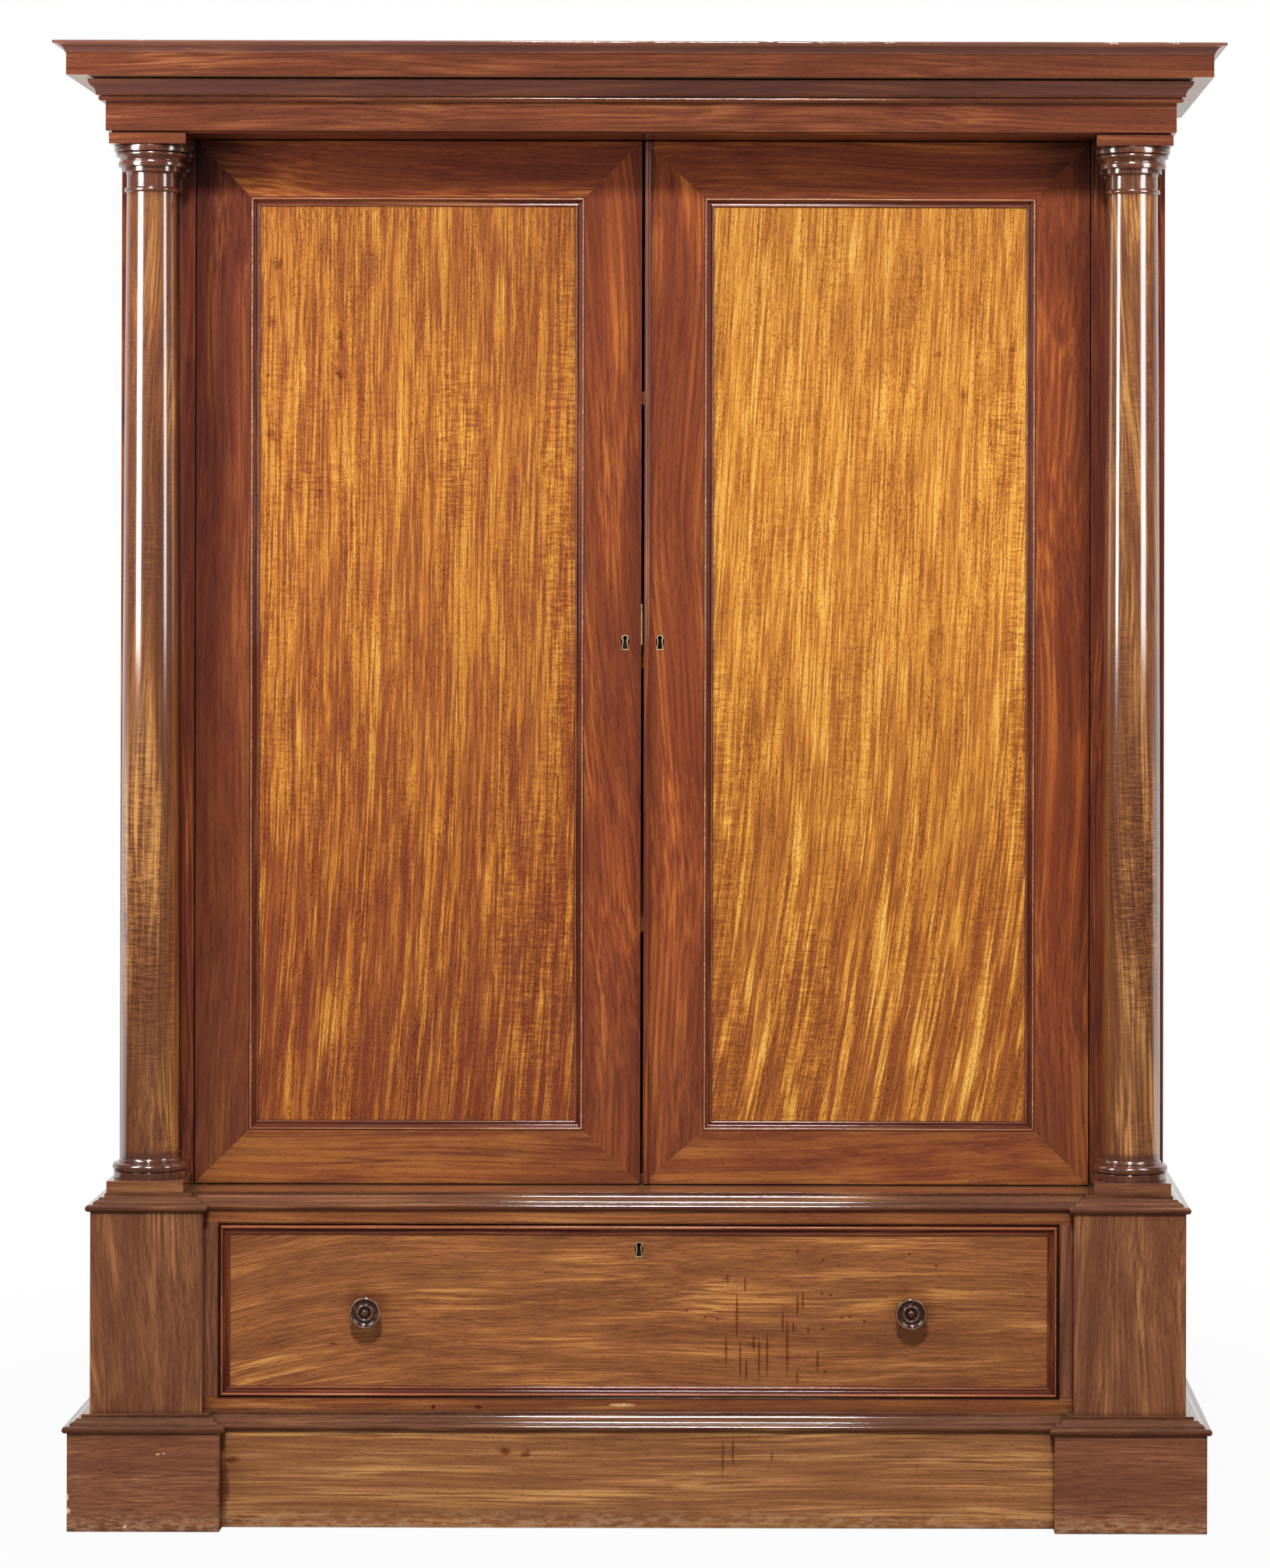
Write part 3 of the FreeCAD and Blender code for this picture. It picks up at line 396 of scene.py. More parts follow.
    def material(self):
        s = self.shader
        colour, height = self.worn_and_shaded_colour(), self.height()
        smear = s.noise(self.place, (14, 14, 9), 3, 0.6, (0, self.seed, 4))
        if not self.polish:
            return s.surface(colour, s.between(smear, 0.3, 0.75, 0.55, 0.75), height,
                             **{"Specular IOR Level": 0.3})
        polish = self.polish
        if self.upright_polish:
            rise = s.split(self.normal)[2]
            polish = s.times(s.between(rise, 0.4, 0.9, 1.0, 0.0), s.between(rise, -0.9, -0.4, 0.5, 1.0))
        return s.surface(colour, s.between(smear, 0.3, 0.75, 0.42, 0.56), height, **{
            "Coat Weight": polish, "Coat Roughness": self.coat_roughness, "Coat IOR": self.coat_ior,
            "Specular IOR Level": 0.08})


def wood(name, tone, grain, seed, **options):
    return Timber(name, tone, grain, seed, **options).material()


# ---- metal

def iron_lock():
    """Dark iron lock case with a brassy rim on its side and upper faces."""
    s = new_shader("iron_lock")
    facing = s.split(s.normal())
    brassy = s.math("GREATER_THAN", s.most(s.size_of(facing[0]), facing[2]), 0.7)
    tarnish = s.noise(s.place(), (90, 90, 90), 4, 0.65)
    iron = s.ramp(tarnish, [(0.35, screen(16, 13, 11)), (0.65, screen(38, 30, 24))])
    rim = s.ramp(tarnish, [(0.35, screen(120, 90, 50)), (0.65, screen(206, 170, 108))])
    rough = s.between(tarnish, 0.35, 0.65, 0.6, 0.45)
    return s.surface(s.blend(brassy, iron, rim), rough, s.times(tarnish, 0.05), Metallic=0.4)


def metal(name, dark, light, roughness, metallic):
    s = new_shader(name)
    place = s.place()
    tarnish = s.noise(place, (70, 70, 70), 4, 0.65)
    scratches = s.noise(place, (900, 900, 60), 2, 0.6)
    colour = s.ramp(tarnish, [(0.36, screen(*dark)), (0.62, screen(*light))])
    rough = s.between(tarnish, 0.35, 0.65, roughness + 0.15, roughness)
    return s.surface(colour, rough, s.times(scratches, 0.03), Metallic=metallic)


# ---- meshes

BOX_FACES = [(3, 2, 1, 0), (4, 5, 6, 7), (0, 1, 5, 4), (1, 2, 6, 5), (2, 3, 7, 6), (3, 0, 4, 7)]
WELD_REACH, SOFT_EDGE = 0.00002, 0.0004  # metres


def mesh_piece(name, body, verts, faces, materials, indices=None, replaces=()):
    """Piece in the row frame that rides on a body and stands for CAD nodes."""
    mesh = bpy.data.meshes.new(name)
    mesh.from_pydata([tuple(v) for v in verts], [], faces)
    for material in materials:
        mesh.materials.append(material)
    if indices:
        mesh.polygons.foreach_set("material_index", indices)
    mesh.validate()
    shell = bmesh.new()
    shell.from_mesh(mesh)
    bmesh.ops.recalc_face_normals(shell, faces=shell.faces)
    shell.to_mesh(mesh)
    shell.free()
    mesh.shade_smooth()
    mesh.set_sharp_from_angle(angle=CREASE)
    piece = bpy.data.objects.new(name, mesh)
    bpy.context.scene.collection.objects.link(piece)
    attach(piece, body)
    if replaces:
        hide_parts(*replaces)
    return piece


def soften(piece, width, weld=False):
    """Worn, slightly rounded edges, width metres wide."""
    if weld:
        joined = piece.modifiers.new("weld", "WELD")
        joined.merge_threshold = WELD_REACH
        flat = piece.modifiers.new("flat", "DECIMATE")
        flat.decimate_type = "DISSOLVE"
        flat.angle_limit = math.radians(1)
    rounding = piece.modifiers.new("rounding", "BEVEL")
    rounding.width = width
    rounding.segments = 2
    rounding.limit_method = "ANGLE"
    rounding.angle_limit = CREASE
    rounding.use_clamp_overlap = True
    shading = piece.modifiers.new("shading", "WEIGHTED_NORMAL")
    shading.weight = 50
    shading.keep_sharp = False


def curve_points(start, end, rise, count):
    """Points after start on a circular arc to end that stands out by rise on the right-hand side."""
    (x0, z0), (x1, z1) = start, end
    chord = math.hypot(x1 - x0, z1 - z0)
    way = ((x1 - x0) / chord, (z1 - z0) / chord)
    out = (way[1], -way[0])
    radius = (chord * chord / 4 + rise * rise) / (2 * abs(rise))
    sign = 1 if rise > 0 else -1
    half = math.asin(min(1.0, chord / 2 / radius))
    if abs(rise) > chord / 2:
        half = math.pi - half
    centre_depth = rise - sign * radius
    mid = ((x0 + x1) / 2, (z0 + z1) / 2)
    points = []
    for i in range(1, count + 1):
        angle = -half + 2 * half * i / count
        along = radius * math.sin(angle)
        lift = centre_depth + sign * radius * math.cos(angle)
        points.append((mid[0] + way[0] * along + out[0] * lift, mid[1] + way[1] * along + out[1] * lift))
    points[-1] = end
    return points


def outline(start, *steps, count=8):
    """Points from steps (x, z) or (x, z, rise), with the outside on the right-hand side."""
    points = [start]
    for x, z, *rise in steps:
        if rise:
            points += curve_points(points[-1], (x, z), rise[0], count)
        else:
            points.append((x, z))
    return points


def cyma(start, end, rise):
    """Steps of a curve that bulges one way and then the other."""
    middle = ((start[0] + end[0]) / 2, (start[1] + end[1]) / 2)
    return (*middle, rise), (*end, -rise)


def joined(parts):
    """Mesh of several (verts, faces), as one."""
    verts, faces = [], []
    for part_verts, part_faces in parts:
        base = len(verts)
        verts += part_verts
        faces += [tuple(base + v for v in face) for face in part_faces]
    return verts, faces


def swept_faces(rings, size):
    """Faces of a profile of size points swept through rings, with both ends."""
    faces = []
    for i in range(rings - 1):
        for j in range(size):
            a, b = i * size + j, i * size + (j + 1) % size
            faces.append((a, b, b + size, a + size))
    faces.append(tuple(reversed(range(size))))
    faces.append(tuple(range((rings - 1) * size, rings * size)))
    return faces


SINK = 0.4  # a loss lowers the edge by this share of its depth


def mitred_sweep(profile, path, closed, place, step=0.05, wear=None):
    """Meshes of mitred lengths along a plan path, in millimetres, with a ring every step metres.

    wear gives the depth of a loss at a point.
    """
    corners = [Vector((x, y)) for x, y in path]
    if closed:
        corners.append(corners[0])
    walks = [(b - a).normalized() for a, b in zip(corners, corners[1:])]
    outward = [Vector((walk.y, -walk.x)) for walk in walks]
    before = [outward[-1] if closed else outward[0]] + outward
    after = outward + [outward[0] if closed else outward[-1]]
    mitres = [(a + b) / (1 + a.dot(b)) for a, b in zip(before, after)]
    lengths = []
    for i in range(len(walks)):
        start, end = corners[i], corners[i + 1]
        count = max(1, round((end - start).length * MM / step))
        verts = []
        for k in range(count + 1):
            for reach, height in profile:
                near = start + mitres[i] * reach
                far = end + mitres[i + 1] * reach
                spot = near.lerp(far, k / count)
                worn = wear(i, spot, reach, height) if wear else 0.0
                spot = spot - outward[i] * worn
                verts.append(place(spot.x, spot.y, height - worn * SINK))
        lengths.append((verts, swept_faces(count + 1, len(profile))))
    return lengths


def moulding(name, body, lengths, materials, choose, replaces, width=SOFT_EDGE, crest=None, size=1):
    """Lengths joined in one piece. choose gives the material of a length.

    Of the size profile edges, those for which crest is true take the last material.
    """
    indices = []
    for i, (_, faces) in enumerate(lengths):
        for j in range(len(faces)):
            # Crest faces take the last material, a pale wood that stands for painted highlights.
            wear_and_highlight = crest and j < len(faces) - 2 and crest(i, j % size)
            indices.append(len(materials) - 1 if wear_and_highlight else choose(i))
    verts, faces = joined(lengths)
    soften(mesh_piece(name, body, verts, faces, materials, indices, replaces), width)


def lathe(profile, centre, place, around):
    """Mesh of turned work round a centre, from (radius, height) points in millimetres."""
    x, y = centre
    verts = []
    for radius, height in profile:
        for k in range(around):
            angle = 2 * math.pi * k / around
            verts.append(place(radius * math.cos(angle) + x, radius * math.sin(angle) + y, height))
    return verts, swept_faces(len(profile), around)


def pierced_plate(low, high, hole_low, hole_high):
    """Plate across X with a rectangular hole through it, from corners in metres."""
    verts, faces = [], []
    for x in (low[0], high[0]):
        for near, far in ((low, high), (hole_low, hole_high)):
            verts += [(x, near[1], near[2]), (x, far[1], near[2]), (x, far[1], far[2]), (x, near[1], far[2])]
    for k in range(4):
        after = (k + 1) % 4
        for side in (0, 8):
            faces.append((side + k, side + after, side + after + 4, side + k + 4))
        for ring in (0, 4):
            faces.append((ring + k, ring + after, ring + after + 8, ring + k + 8))
    return verts, faces


# ---- plan of the press, in millimetres

BACK_Y = 345.0
DOOR_Y = -157.0
COLUMN_X, COLUMN_Y = 733.5, -214.0
FOOT_TOP_Z = 511.5
PEDESTAL_X, PEDESTAL_INNER_X, PEDESTAL_Y = 811.5, 645.5, -292.0
RAIL_Y = -262.5
PLINTH_X, PLINTH_INNER_X, PLINTH_Y, PLINTH_CENTRE_Y = 841.0, 616.0, -321.5, -292.0
PLINTH_TOP_Z, DECK_UNDER_Z = 145.5, 468.5
FRIEZE_X, FRIEZE_Y, FRIEZE_THICK = 794.7, -275.2, 25.0
FRIEZE_Z, FRIEZE_TOP_Z = 2071.0, 2190.0
BED_Z, CORONA_Z = 2114.5, 2148.5
DRAWER_Y, DRAWER_X, DRAWER_LOW_Z, DRAWER_HIGH_Z = -258.5, 622.0, 192.0, 446.0
PANEL_Y = -150.5
DOOR_EDGE_X, MEETING_X = 673.0, 2.25
DOOR_LOW_Z, DOOR_HIGH_Z = 495.5, 2066.0
# from the edges of a door to its panel
HINGE_STILE, LEFT_MEETING_STILE, RIGHT_MEETING_STILE, LOW_RAIL, HIGH_RAIL = 81.0, 85.5, 89.5, 80.0, 84.0
KNOB_X, KNOB_Z = 404.5, 319.0


def upright(y):
    """Plan work stood up: its plan Y becomes Z and its height points forward from y."""
    return lambda px, py, height: (px * MM, (y - height) * MM, py * MM)


def level(z):
    return lambda px, py, height: (px * MM, py * MM, (z + height) * MM)


def breakfront(outer_x, front_y, inner_x, centre_y):
    """Plan path round the front and sides, with both ends standing forward."""
    right = [(inner_x, centre_y), (inner_x, front_y), (outer_x, front_y), (outer_x, BACK_Y)]
    return [(-x, y) for x, y in reversed(right)] + right


def cap_outline(depth):
    """Bead, cyma and square."""
    nose = 3.6
    bead_x = 7.0 - nose
    return outline(
        (-depth, 0), (bead_x, 0), (bead_x, 10.0, nose), (-3.2, 10.0), (-3.2, 11.2),
        *cyma((-3.2, 11.2), (-12.0, 20.0), 0.8), (-18.5, 20.0), (-18.5, 25.0), (-depth, 25.0))


def crown_outline():
    """Corona, cavetto and lip."""
    return outline(
        (0, 0), (51.4, 0), (51.4, 32.5), (52.7, 32.5), (52.7, 33.8),
        (68.144, 44.9, -3.6), (68.144, 49.5, 1.656), (0, 49.5), count=10)


NOSE = 0.36  # how far a small bead stands out, as a share of its height


def bed_outline():
    """Bead, fillet and cyma under the corona."""
    nose = 6.8 * NOSE
    bead_x = 9.6 - nose
    return outline(
        (0, 0), (bead_x, 0), (bead_x, 6.8, nose), (bead_x, 8.0), (13.0, 8.0), (13.0, 10.0),
        *cyma((13.0, 10.0), (24.0, 31.0), -1.5), (bead_x, 31.0), (bead_x, 34.0), (0, 34.0))


def bead_frame_outline():
    """Small moulding round the panels and the drawer front."""
    nose = 5.6 * NOSE
    return outline(
        (0, 0), (14.6, 0), (14.6, 1.1), (10.0, 1.8, 0.83), (5.6, 4.7, -0.9), (5.6, 7.6 - nose),
        (0, 7.6 - nose, nose))


# Edges of that outline painted pale as highlights, by their number. On the drawer it depends on the side,
# after where the light falls.
PANEL_CREST = (5, 17, 22, 23)
DRAWER_CREST = {0: (23,), 1: (5, 20, 21, 22, 23, 24), 2: (23,), 3: (5, 6, 21, 22, 23, 24)}


def meeting_bead_outline():
    return outline((0, 0), (10.0, 0), (10.0, 1.4), (8.8, 1.4), (1.2, 1.4, 3.6), (0, 1.4))


def column_outline():
    """Radii and heights above the foot block."""
    foot_radius, foot_z = 43.5, 33.5
    neck_radius, neck_z = 37.2, 1471.1
    swelling, rings = 2.4, 32
    points = outline(
        (0.5, 0), (53.3, 0), (53.3, 10.5), (50.6, 10.5), (50.6, 23.5, 4.7), (45.7, 23.5),
        (45.7, 26.5), (foot_radius, foot_z, -1.0), count=10)
    for i in range(1, rings + 1):
        part = i / rings
        swell = swelling * 2 * part * (1 - part)
        points.append((foot_radius + (neck_radius - foot_radius) * part + swell,
                       foot_z + (neck_z - foot_z) * part))
    points += outline(
        (38.8, neck_z), (38.8, 1478.3, 2.0), (neck_radius, 1478.3), (neck_radius, 1494.0),
        (38.8, 1501.3, -0.5), (43.1, 1501.3), (43.1, 1508.5), (48.9, 1508.5), (48.9, 1517.5, 0.9),
        (46.5, 1517.5), (50.9, 1523.7, -0.9), (50.9, 1530.9, 2.6), (55.3, 1530.9), (55.3, 1540.5, 0.5),
        (0.5, 1540.5))
    return points


def knob_outline():
    """Radii and distances from the drawer front."""
    return outline(
        (0.3, -2), (14.0, -2), (14.0, 0), (15.0, 1.2, 0.4), (14.2, 3.0, 0.4), (12.6, 6.5, -0.8),
        (13.4, 16.0, -2.0), (20.8, 25.0, -1.4), (22.9, 28.5, 0.9), (21.2, 32.9, 1.7), (18.9, 31.6, 0.7),
        (13.6, 29.6, -0.7), (12.4, 31.6, 0.3), (10.4, 32.2, 0.6), (8.7, 30.6, 0.4), (7.0, 28.6, -0.7),
        (5.9, 30.2, -0.3), (0.3, 34.0, 1.5), count=6)


# ---- marks of use, painted shade and painted highlights
# Ellipses are (x, z, half width, half height) in millimetres.

KNOTS = {
    "left": ((-559, 1826, 9, 6), (-559, 1794, 11, 16), (-567, 1714, 7, 6), (-559, 1623, 11, 19),
             (-538, 1541, 12, 7), (-491, 1533, 8, 5), (-457, 1768, 8, 21), (-457, 1714, 14, 8),
             (-552, 1882, 9, 14)),
    "right": ((443, 1748, 7, 8), (483, 1686, 11, 14), (524, 1641, 5, 6), (539, 1637, 11, 7),
              (554, 1754, 10, 6), (524, 1609, 4, 18), (502, 1514, 4, 22)),
}
RIPPLES = {
    "left": ((-110, 1500, 60, 520), (-280, 1620, 50, 200), (-160, 860, 80, 320), (-500, 1560, 70, 40)),
    "right": ((110, 1050, 40, 380), (116, 720, 60, 170), (570, 1250, 30, 450), (250, 760, 60, 200),
              (545, 1620, 40, 130)),
}
DRIPS = [(x, z, 2.5, tall) for x, z, tall in (
    (132, 366, 9), (158, 358, 15), (146, 313, 45), (130, 259, 30), (151, 246, 38),
    (160, 232, 24), (171, 271, 17), (179, 249, 38), (191, 254, 43), (214, 304, 21),
    (221, 267, 56), (230, 295, 11), (236, 328, 22), (244, 334, 17), (236, 221, 13),
    (266, 245, 21), (252, 291, 7))]
SPLASHES = [(x, z, 3.2, 2.6) for x, z in (
    (236, 408), (274, 395), (402, 404), (442, 387), (286, 343), (272, 345), (302, 309), (314, 310),
    (336, 304), (274, 293), (71, 320), (99, 310), (117, 307), (277, 229))]
DRAWER_NICKS = ((-455, 269, 8, 1.2), (-640, 250, 5, 5))
# The tall mark at x -612 is painted shade on the board beside the plinth block; the others are dark smears.
PLINTH_SMEARS_AND_SHADE = (
    (-196, 117, 14, 10), (-166, 111, 12, 7), (-603, 102, 22, 6), (-578, 17, 40, 3), (-612, 60, 9, 80),
    (126, 105, 2.5, 43), (142, 116, 2.5, 31), (198, 109, 2.5, 11), (167, 138, 2.5, 4))
PLINTH_CHIPS = (
    (-840, 31, 6, 5), (-841, 52, 2, 9), (-755, 7, 4, 3), (-707, 115, 4, 1.3), (-698, 115, 3, 1.2),
    (-842, 12, 2, 10))
RAIL_KNOTS = ((-238, 176, 7, 4), (-305, 176, 4, 5))
SOFT_TINT = (0.84, 0.94, 1.06)  # browner foot of the doors


def panel_marks(side):
    def marks(s, colour, place):
        """Darker top of the panel, and its knots."""
        high = s.between(s.split(place)[2], 1.6, 1.95)
        colour = s.darken(colour, high, (0.88, 0.87, 0.92))
        loose = s.scatter(place, 70, 4, 0.75, 0.036)
        return s.darken(colour, s.spots(loose, KNOTS[side], 0.0), (0.5, 0.38, 0.36))

    return marks


def cornice_bloom_and_underside_light(s, colour, place):
    """Greyish bloom on the two cymas of the cornice, and undersides painted paler and warmer as painted
    bounce light.
    """
    z = s.split(place)[2]
    upper = s.between(z, 2.181, 2.183, 0.0, 0.32)
    lower = s.times(s.between(z, 2.123, 2.126, 0.0, 0.26), s.between(z, 2.143, 2.146, 1.0, 0.0))
    colour = s.blend(s.most(upper, lower), colour, screen(144, 106, 103))
    rise = s.split(s.normal())[2]
    # Painted bounce light: undersides are blended to a paler, warmer colour.
    return s.blend(s.between(rise, -0.97, -0.9, 0.7, 0.0), colour, screen(206, 146, 104))


def drawer_gap_shade(s, colour, place):
    """Painted shade in the gap round the drawer's front."""
    x, _, z = s.split(place)
    middle, half = (DRAWER_HIGH_Z + DRAWER_LOW_Z) / 2 * MM, (DRAWER_HIGH_Z - DRAWER_LOW_Z) / 2 * MM
    beyond_x = s.minus(s.size_of(x), DRAWER_X * MM)
    beyond_z = s.minus(s.size_of(s.minus(z, middle)), half)
    # Painted shade: strong darkening in the gap round the drawer.
    gap_shade = s.between(s.most(beyond_x, beyond_z), 0.0025, 0.006, 1.0, 0.0)
    return s.darken(colour, gap_shade, (0.25, 0.2, 0.2))


def drawer_marks(s, colour, place):
    """Handled wood round the knobs, drips, splashes and nicks."""
    for x in (-KNOB_X, KNOB_X):
        halo = s.times(s.spot(place, x, 326, 44, 42, 0.4), 0.75)
        colour = s.darken(colour, halo, (0.62, 0.5, 0.45))
    wet = s.spots(place, SPLASHES, 0.6, s.spots(place, DRIPS))
    colour = s.darken(colour, wet, (0.55, 0.4, 0.36))
    return s.darken(colour, s.spots(place, DRAWER_NICKS), (0.3, 0.2, 0.2))


def plinth_marks(s, colour, place):
    """Rubbed foot, dark smears, painted shade beside the block, and pale chips."""
    low = s.between(s.split(place)[2], 0.004, 0.04, 1.0, 0.0)
    wear_and_highlight = s.between(s.noise(place, (50, 50, 190), 3, 0.7), 0.42, 0.62)
    colour = s.blend(s.times(low, wear_and_highlight, 0.55), colour, screen(190, 150, 112))
    loose = s.scatter(place, 60, 2, 0.6, 0.01)
    colour = s.darken(colour, s.spots(loose, PLINTH_SMEARS_AND_SHADE, 0.2), (0.45, 0.33, 0.3))
    return s.blend(s.spots(loose, PLINTH_CHIPS), colour, screen(222, 190, 150))


def wandering(s, value, place, reach):
    """Value moved by slow noise, up to reach metres."""
    return s.plus(value, s.noise(place, (8, 8, 3), 2, 0.5), reach)


def browner_foot(s, colour, z):
    return s.darken(colour, s.between(z, 0.5, 0.9, 0.8, 0.0), SOFT_TINT)


def door_corner_shade(s, colour, place):
    """Painted shadow of the cornice in the doors' outer upper corners, painted shade of the columns along
    their outer edges, and a browner foot.
    """
    x, _, z = s.split(place)
    aside = s.size_of(x)
    # Painted shadow of the cornice in the upper outer corner.
    cornice_shadow = s.spot(s.join(aside, 0.0, z), 668, 2076, 190, 110, 0.0)
    colour = s.darken(colour, cornice_shadow, (0.4, 0.33, 0.46))
    # Painted shade of the column along the outer edge.
    shade_band = s.between(wandering(s, aside, place, 0.05), 0.66, 0.7, 0.0, 0.6)
    on_door = s.between(aside, 0.6725, 0.674, 1.0, 0.7)
    colour = s.darken(colour, s.times(shade_band, on_door), (0.6, 0.5, 0.58))
    return browner_foot(s, colour, z)


def meeting_shade(s, colour, place):
    """Painted shade in a band beside the gap between the doors, and a browner foot."""
    x, _, z = s.split(place)
    # Painted shade beside the gap.
    shade_band = s.between(wandering(s, s.size_of(x), place, 0.04), 0.022, 0.05, 0.65, 0.0)
    return browner_foot(s, s.darken(colour, shade_band, (0.55, 0.46, 0.55)), z)


def rail_marks(s, colour, place):
    """Torn splinter, two knots, and the painted shade of the drawer gap."""
    torn = s.spot(place, -24, 179.5, 21, 2.6, 0.8)
    ragged = s.between(s.noise(place, (160, 160, 900), 2, 0.6), 0.38, 0.46)
    colour = s.blend(s.times(torn, ragged), colour, screen(218, 176, 124))
    return drawer_gap_shade(s, s.darken(colour, s.spots(place, RAIL_KNOTS), (0.35, 0.28, 0.28)), place)


def keyhole_shade(node, marks):
    """Marks with the painted shade of a keyhole's depth."""
    low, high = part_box(node)
    x, z = (low.x + high.x) / 2 / MM, (low.z + high.z) / 2 / MM

    def added(s, colour, place):
        colour = marks(s, colour, place)
        # Painted shade: the keyhole's depth is painted near black.
        return s.darken(colour, s.spot(place, x, z, 6.5, 13, 0.9), (0.03, 0.02, 0.02))

    return added


def column_marks_and_capital_shade(s, colour, place):
    """Darker base, and a capital painted darker as painted shade under the abacus."""
    z = s.split(place)[2]
    # Base and capital are blended darker; on the capital this is painted shade.
    turned = s.most(s.between(z, 0.548, 0.556, 1.0, 0.0), s.between(z, 1.97, 1.99))
    return s.blend(s.times(turned, 0.75), colour, screen(84, 44, 36))


def knob_ring_highlights(s, colour, place):
    """Painted highlights on the rim and the inner ring."""
    x, _, z = s.split(place)
    aside, rise = s.minus(s.size_of(x), KNOB_X * MM), s.minus(z, KNOB_Z * MM)
    reach = s.math("SQRT", s.math("ADD", s.times(aside, aside), s.times(rise, rise)))
    half = 0.001
    # The pale rings on the rim and the inner ring are painted highlights.
    for radius, share in ((0.0217, 0.4), (0.0112, 0.25)):
        away = s.size_of(s.minus(reach, radius))
        colour = s.blend(s.between(away, half * 0.4, half, share, 0.0), colour, screen(196, 158, 130))
    return colour


# ---- materials

MOULDING = {"edges": 0, "relief": 0.06, "polish": 0.45}
HIGHLIGHT_CREST = {"edges": 0, "relief": 0.06, "polish": 0.2, "fibre": (200, 20, 0.3)}
CAP = {"dust": 0.15, "relief": 0.04, "edges": 0.6, "coat_ior": 1.42, "coat_roughness": 0.06}
CORNICE = {"dust": 0.3, "upright_polish": True, "marks": cornice_bloom_and_underside_light}
COLUMN = {"bend": 0.05, "figure": (26, 2.5, 1.25), "clump": 0.5, "coat_ior": 2.3, "coat_roughness": 0.15,
          "edges": 0, "relief": 0.4, "marks": column_marks_and_capital_shade}
KNOB = {"coat_ior": 1.8, "edges": 0, "relief": 0.08, "marks": knob_ring_highlights}
BARE = {"polish": 0}
DOOR = {"bend": 0.06, "figure": (24, 1.5, 1.0), "clump": 0.5, "glint": 0.06, "streak": (190, 1.8, 0.55),
        "fibre": (620, 6, 0.4)}
DOOR_RAILS = {**DOOR, "bend": 0.05, "figure": (24, 1.5, 0.9), "glint": 0.05, "marks": door_corner_shade,
              "fade": (0.7, 2.5, -0.22)}
PANEL = {"bend": 0.012, "figure": (30, 1.6, 0.45), "streak": (220, 5.5, 0.45), "fibre": (640, 13, 1.1),
         "cloud": (62, 8, 0.5), "crisp": 0.2, "drift_share": 0.0, "dots": 0.7}
PANEL_FIGURES = (
    # side, seed, lean, strengths of the bow, of golden streaks and of the darker foot
    ("left", 51.3, -0.02, 0.06, 0.2, 0.24),
    ("right", 57.9, -0.055, 0.14, 0.4, 0.19))

moulding_x = wood("moulding_along_x", "moulding", "X", 3.1, **MOULDING)
moulding_z = wood("moulding_upright", "moulding", "Z", 5.7, **MOULDING)
meeting_bead_wood = wood("meeting_bead_wood", "frame", "Z", 4.4, edges=0, relief=0.06)
# Pale copies of the moulding wood for painted highlights on the bead crests.
highlight_crest_wood = wood("painted_highlight_crest", "crest", "X", 5.1, **HIGHLIGHT_CREST)
lit_wood = wood("lit_moulding", "lit_moulding", "X", 5.9, **HIGHLIGHT_CREST)
cap_woods = [wood("cap_along_x", "cap", "X", 6.1, **CAP), wood("cap_along_y", "cap", "Y", 7.9, **CAP)]
cornice_woods = [wood("cornice_along_x", "cornice", "X", 8.3, **CORNICE),
                 wood("cornice_along_y", "cornice", "Y", 9.2, **CORNICE)]
lock_iron = iron_lock()
pale_brass = metal("pale_brass", (150, 120, 76), (226, 204, 158), 0.4, 0.35)
brass = metal("worn_brass", (96, 66, 34), (176, 138, 78), 0.3, 1.0)


# ---- CAD boards

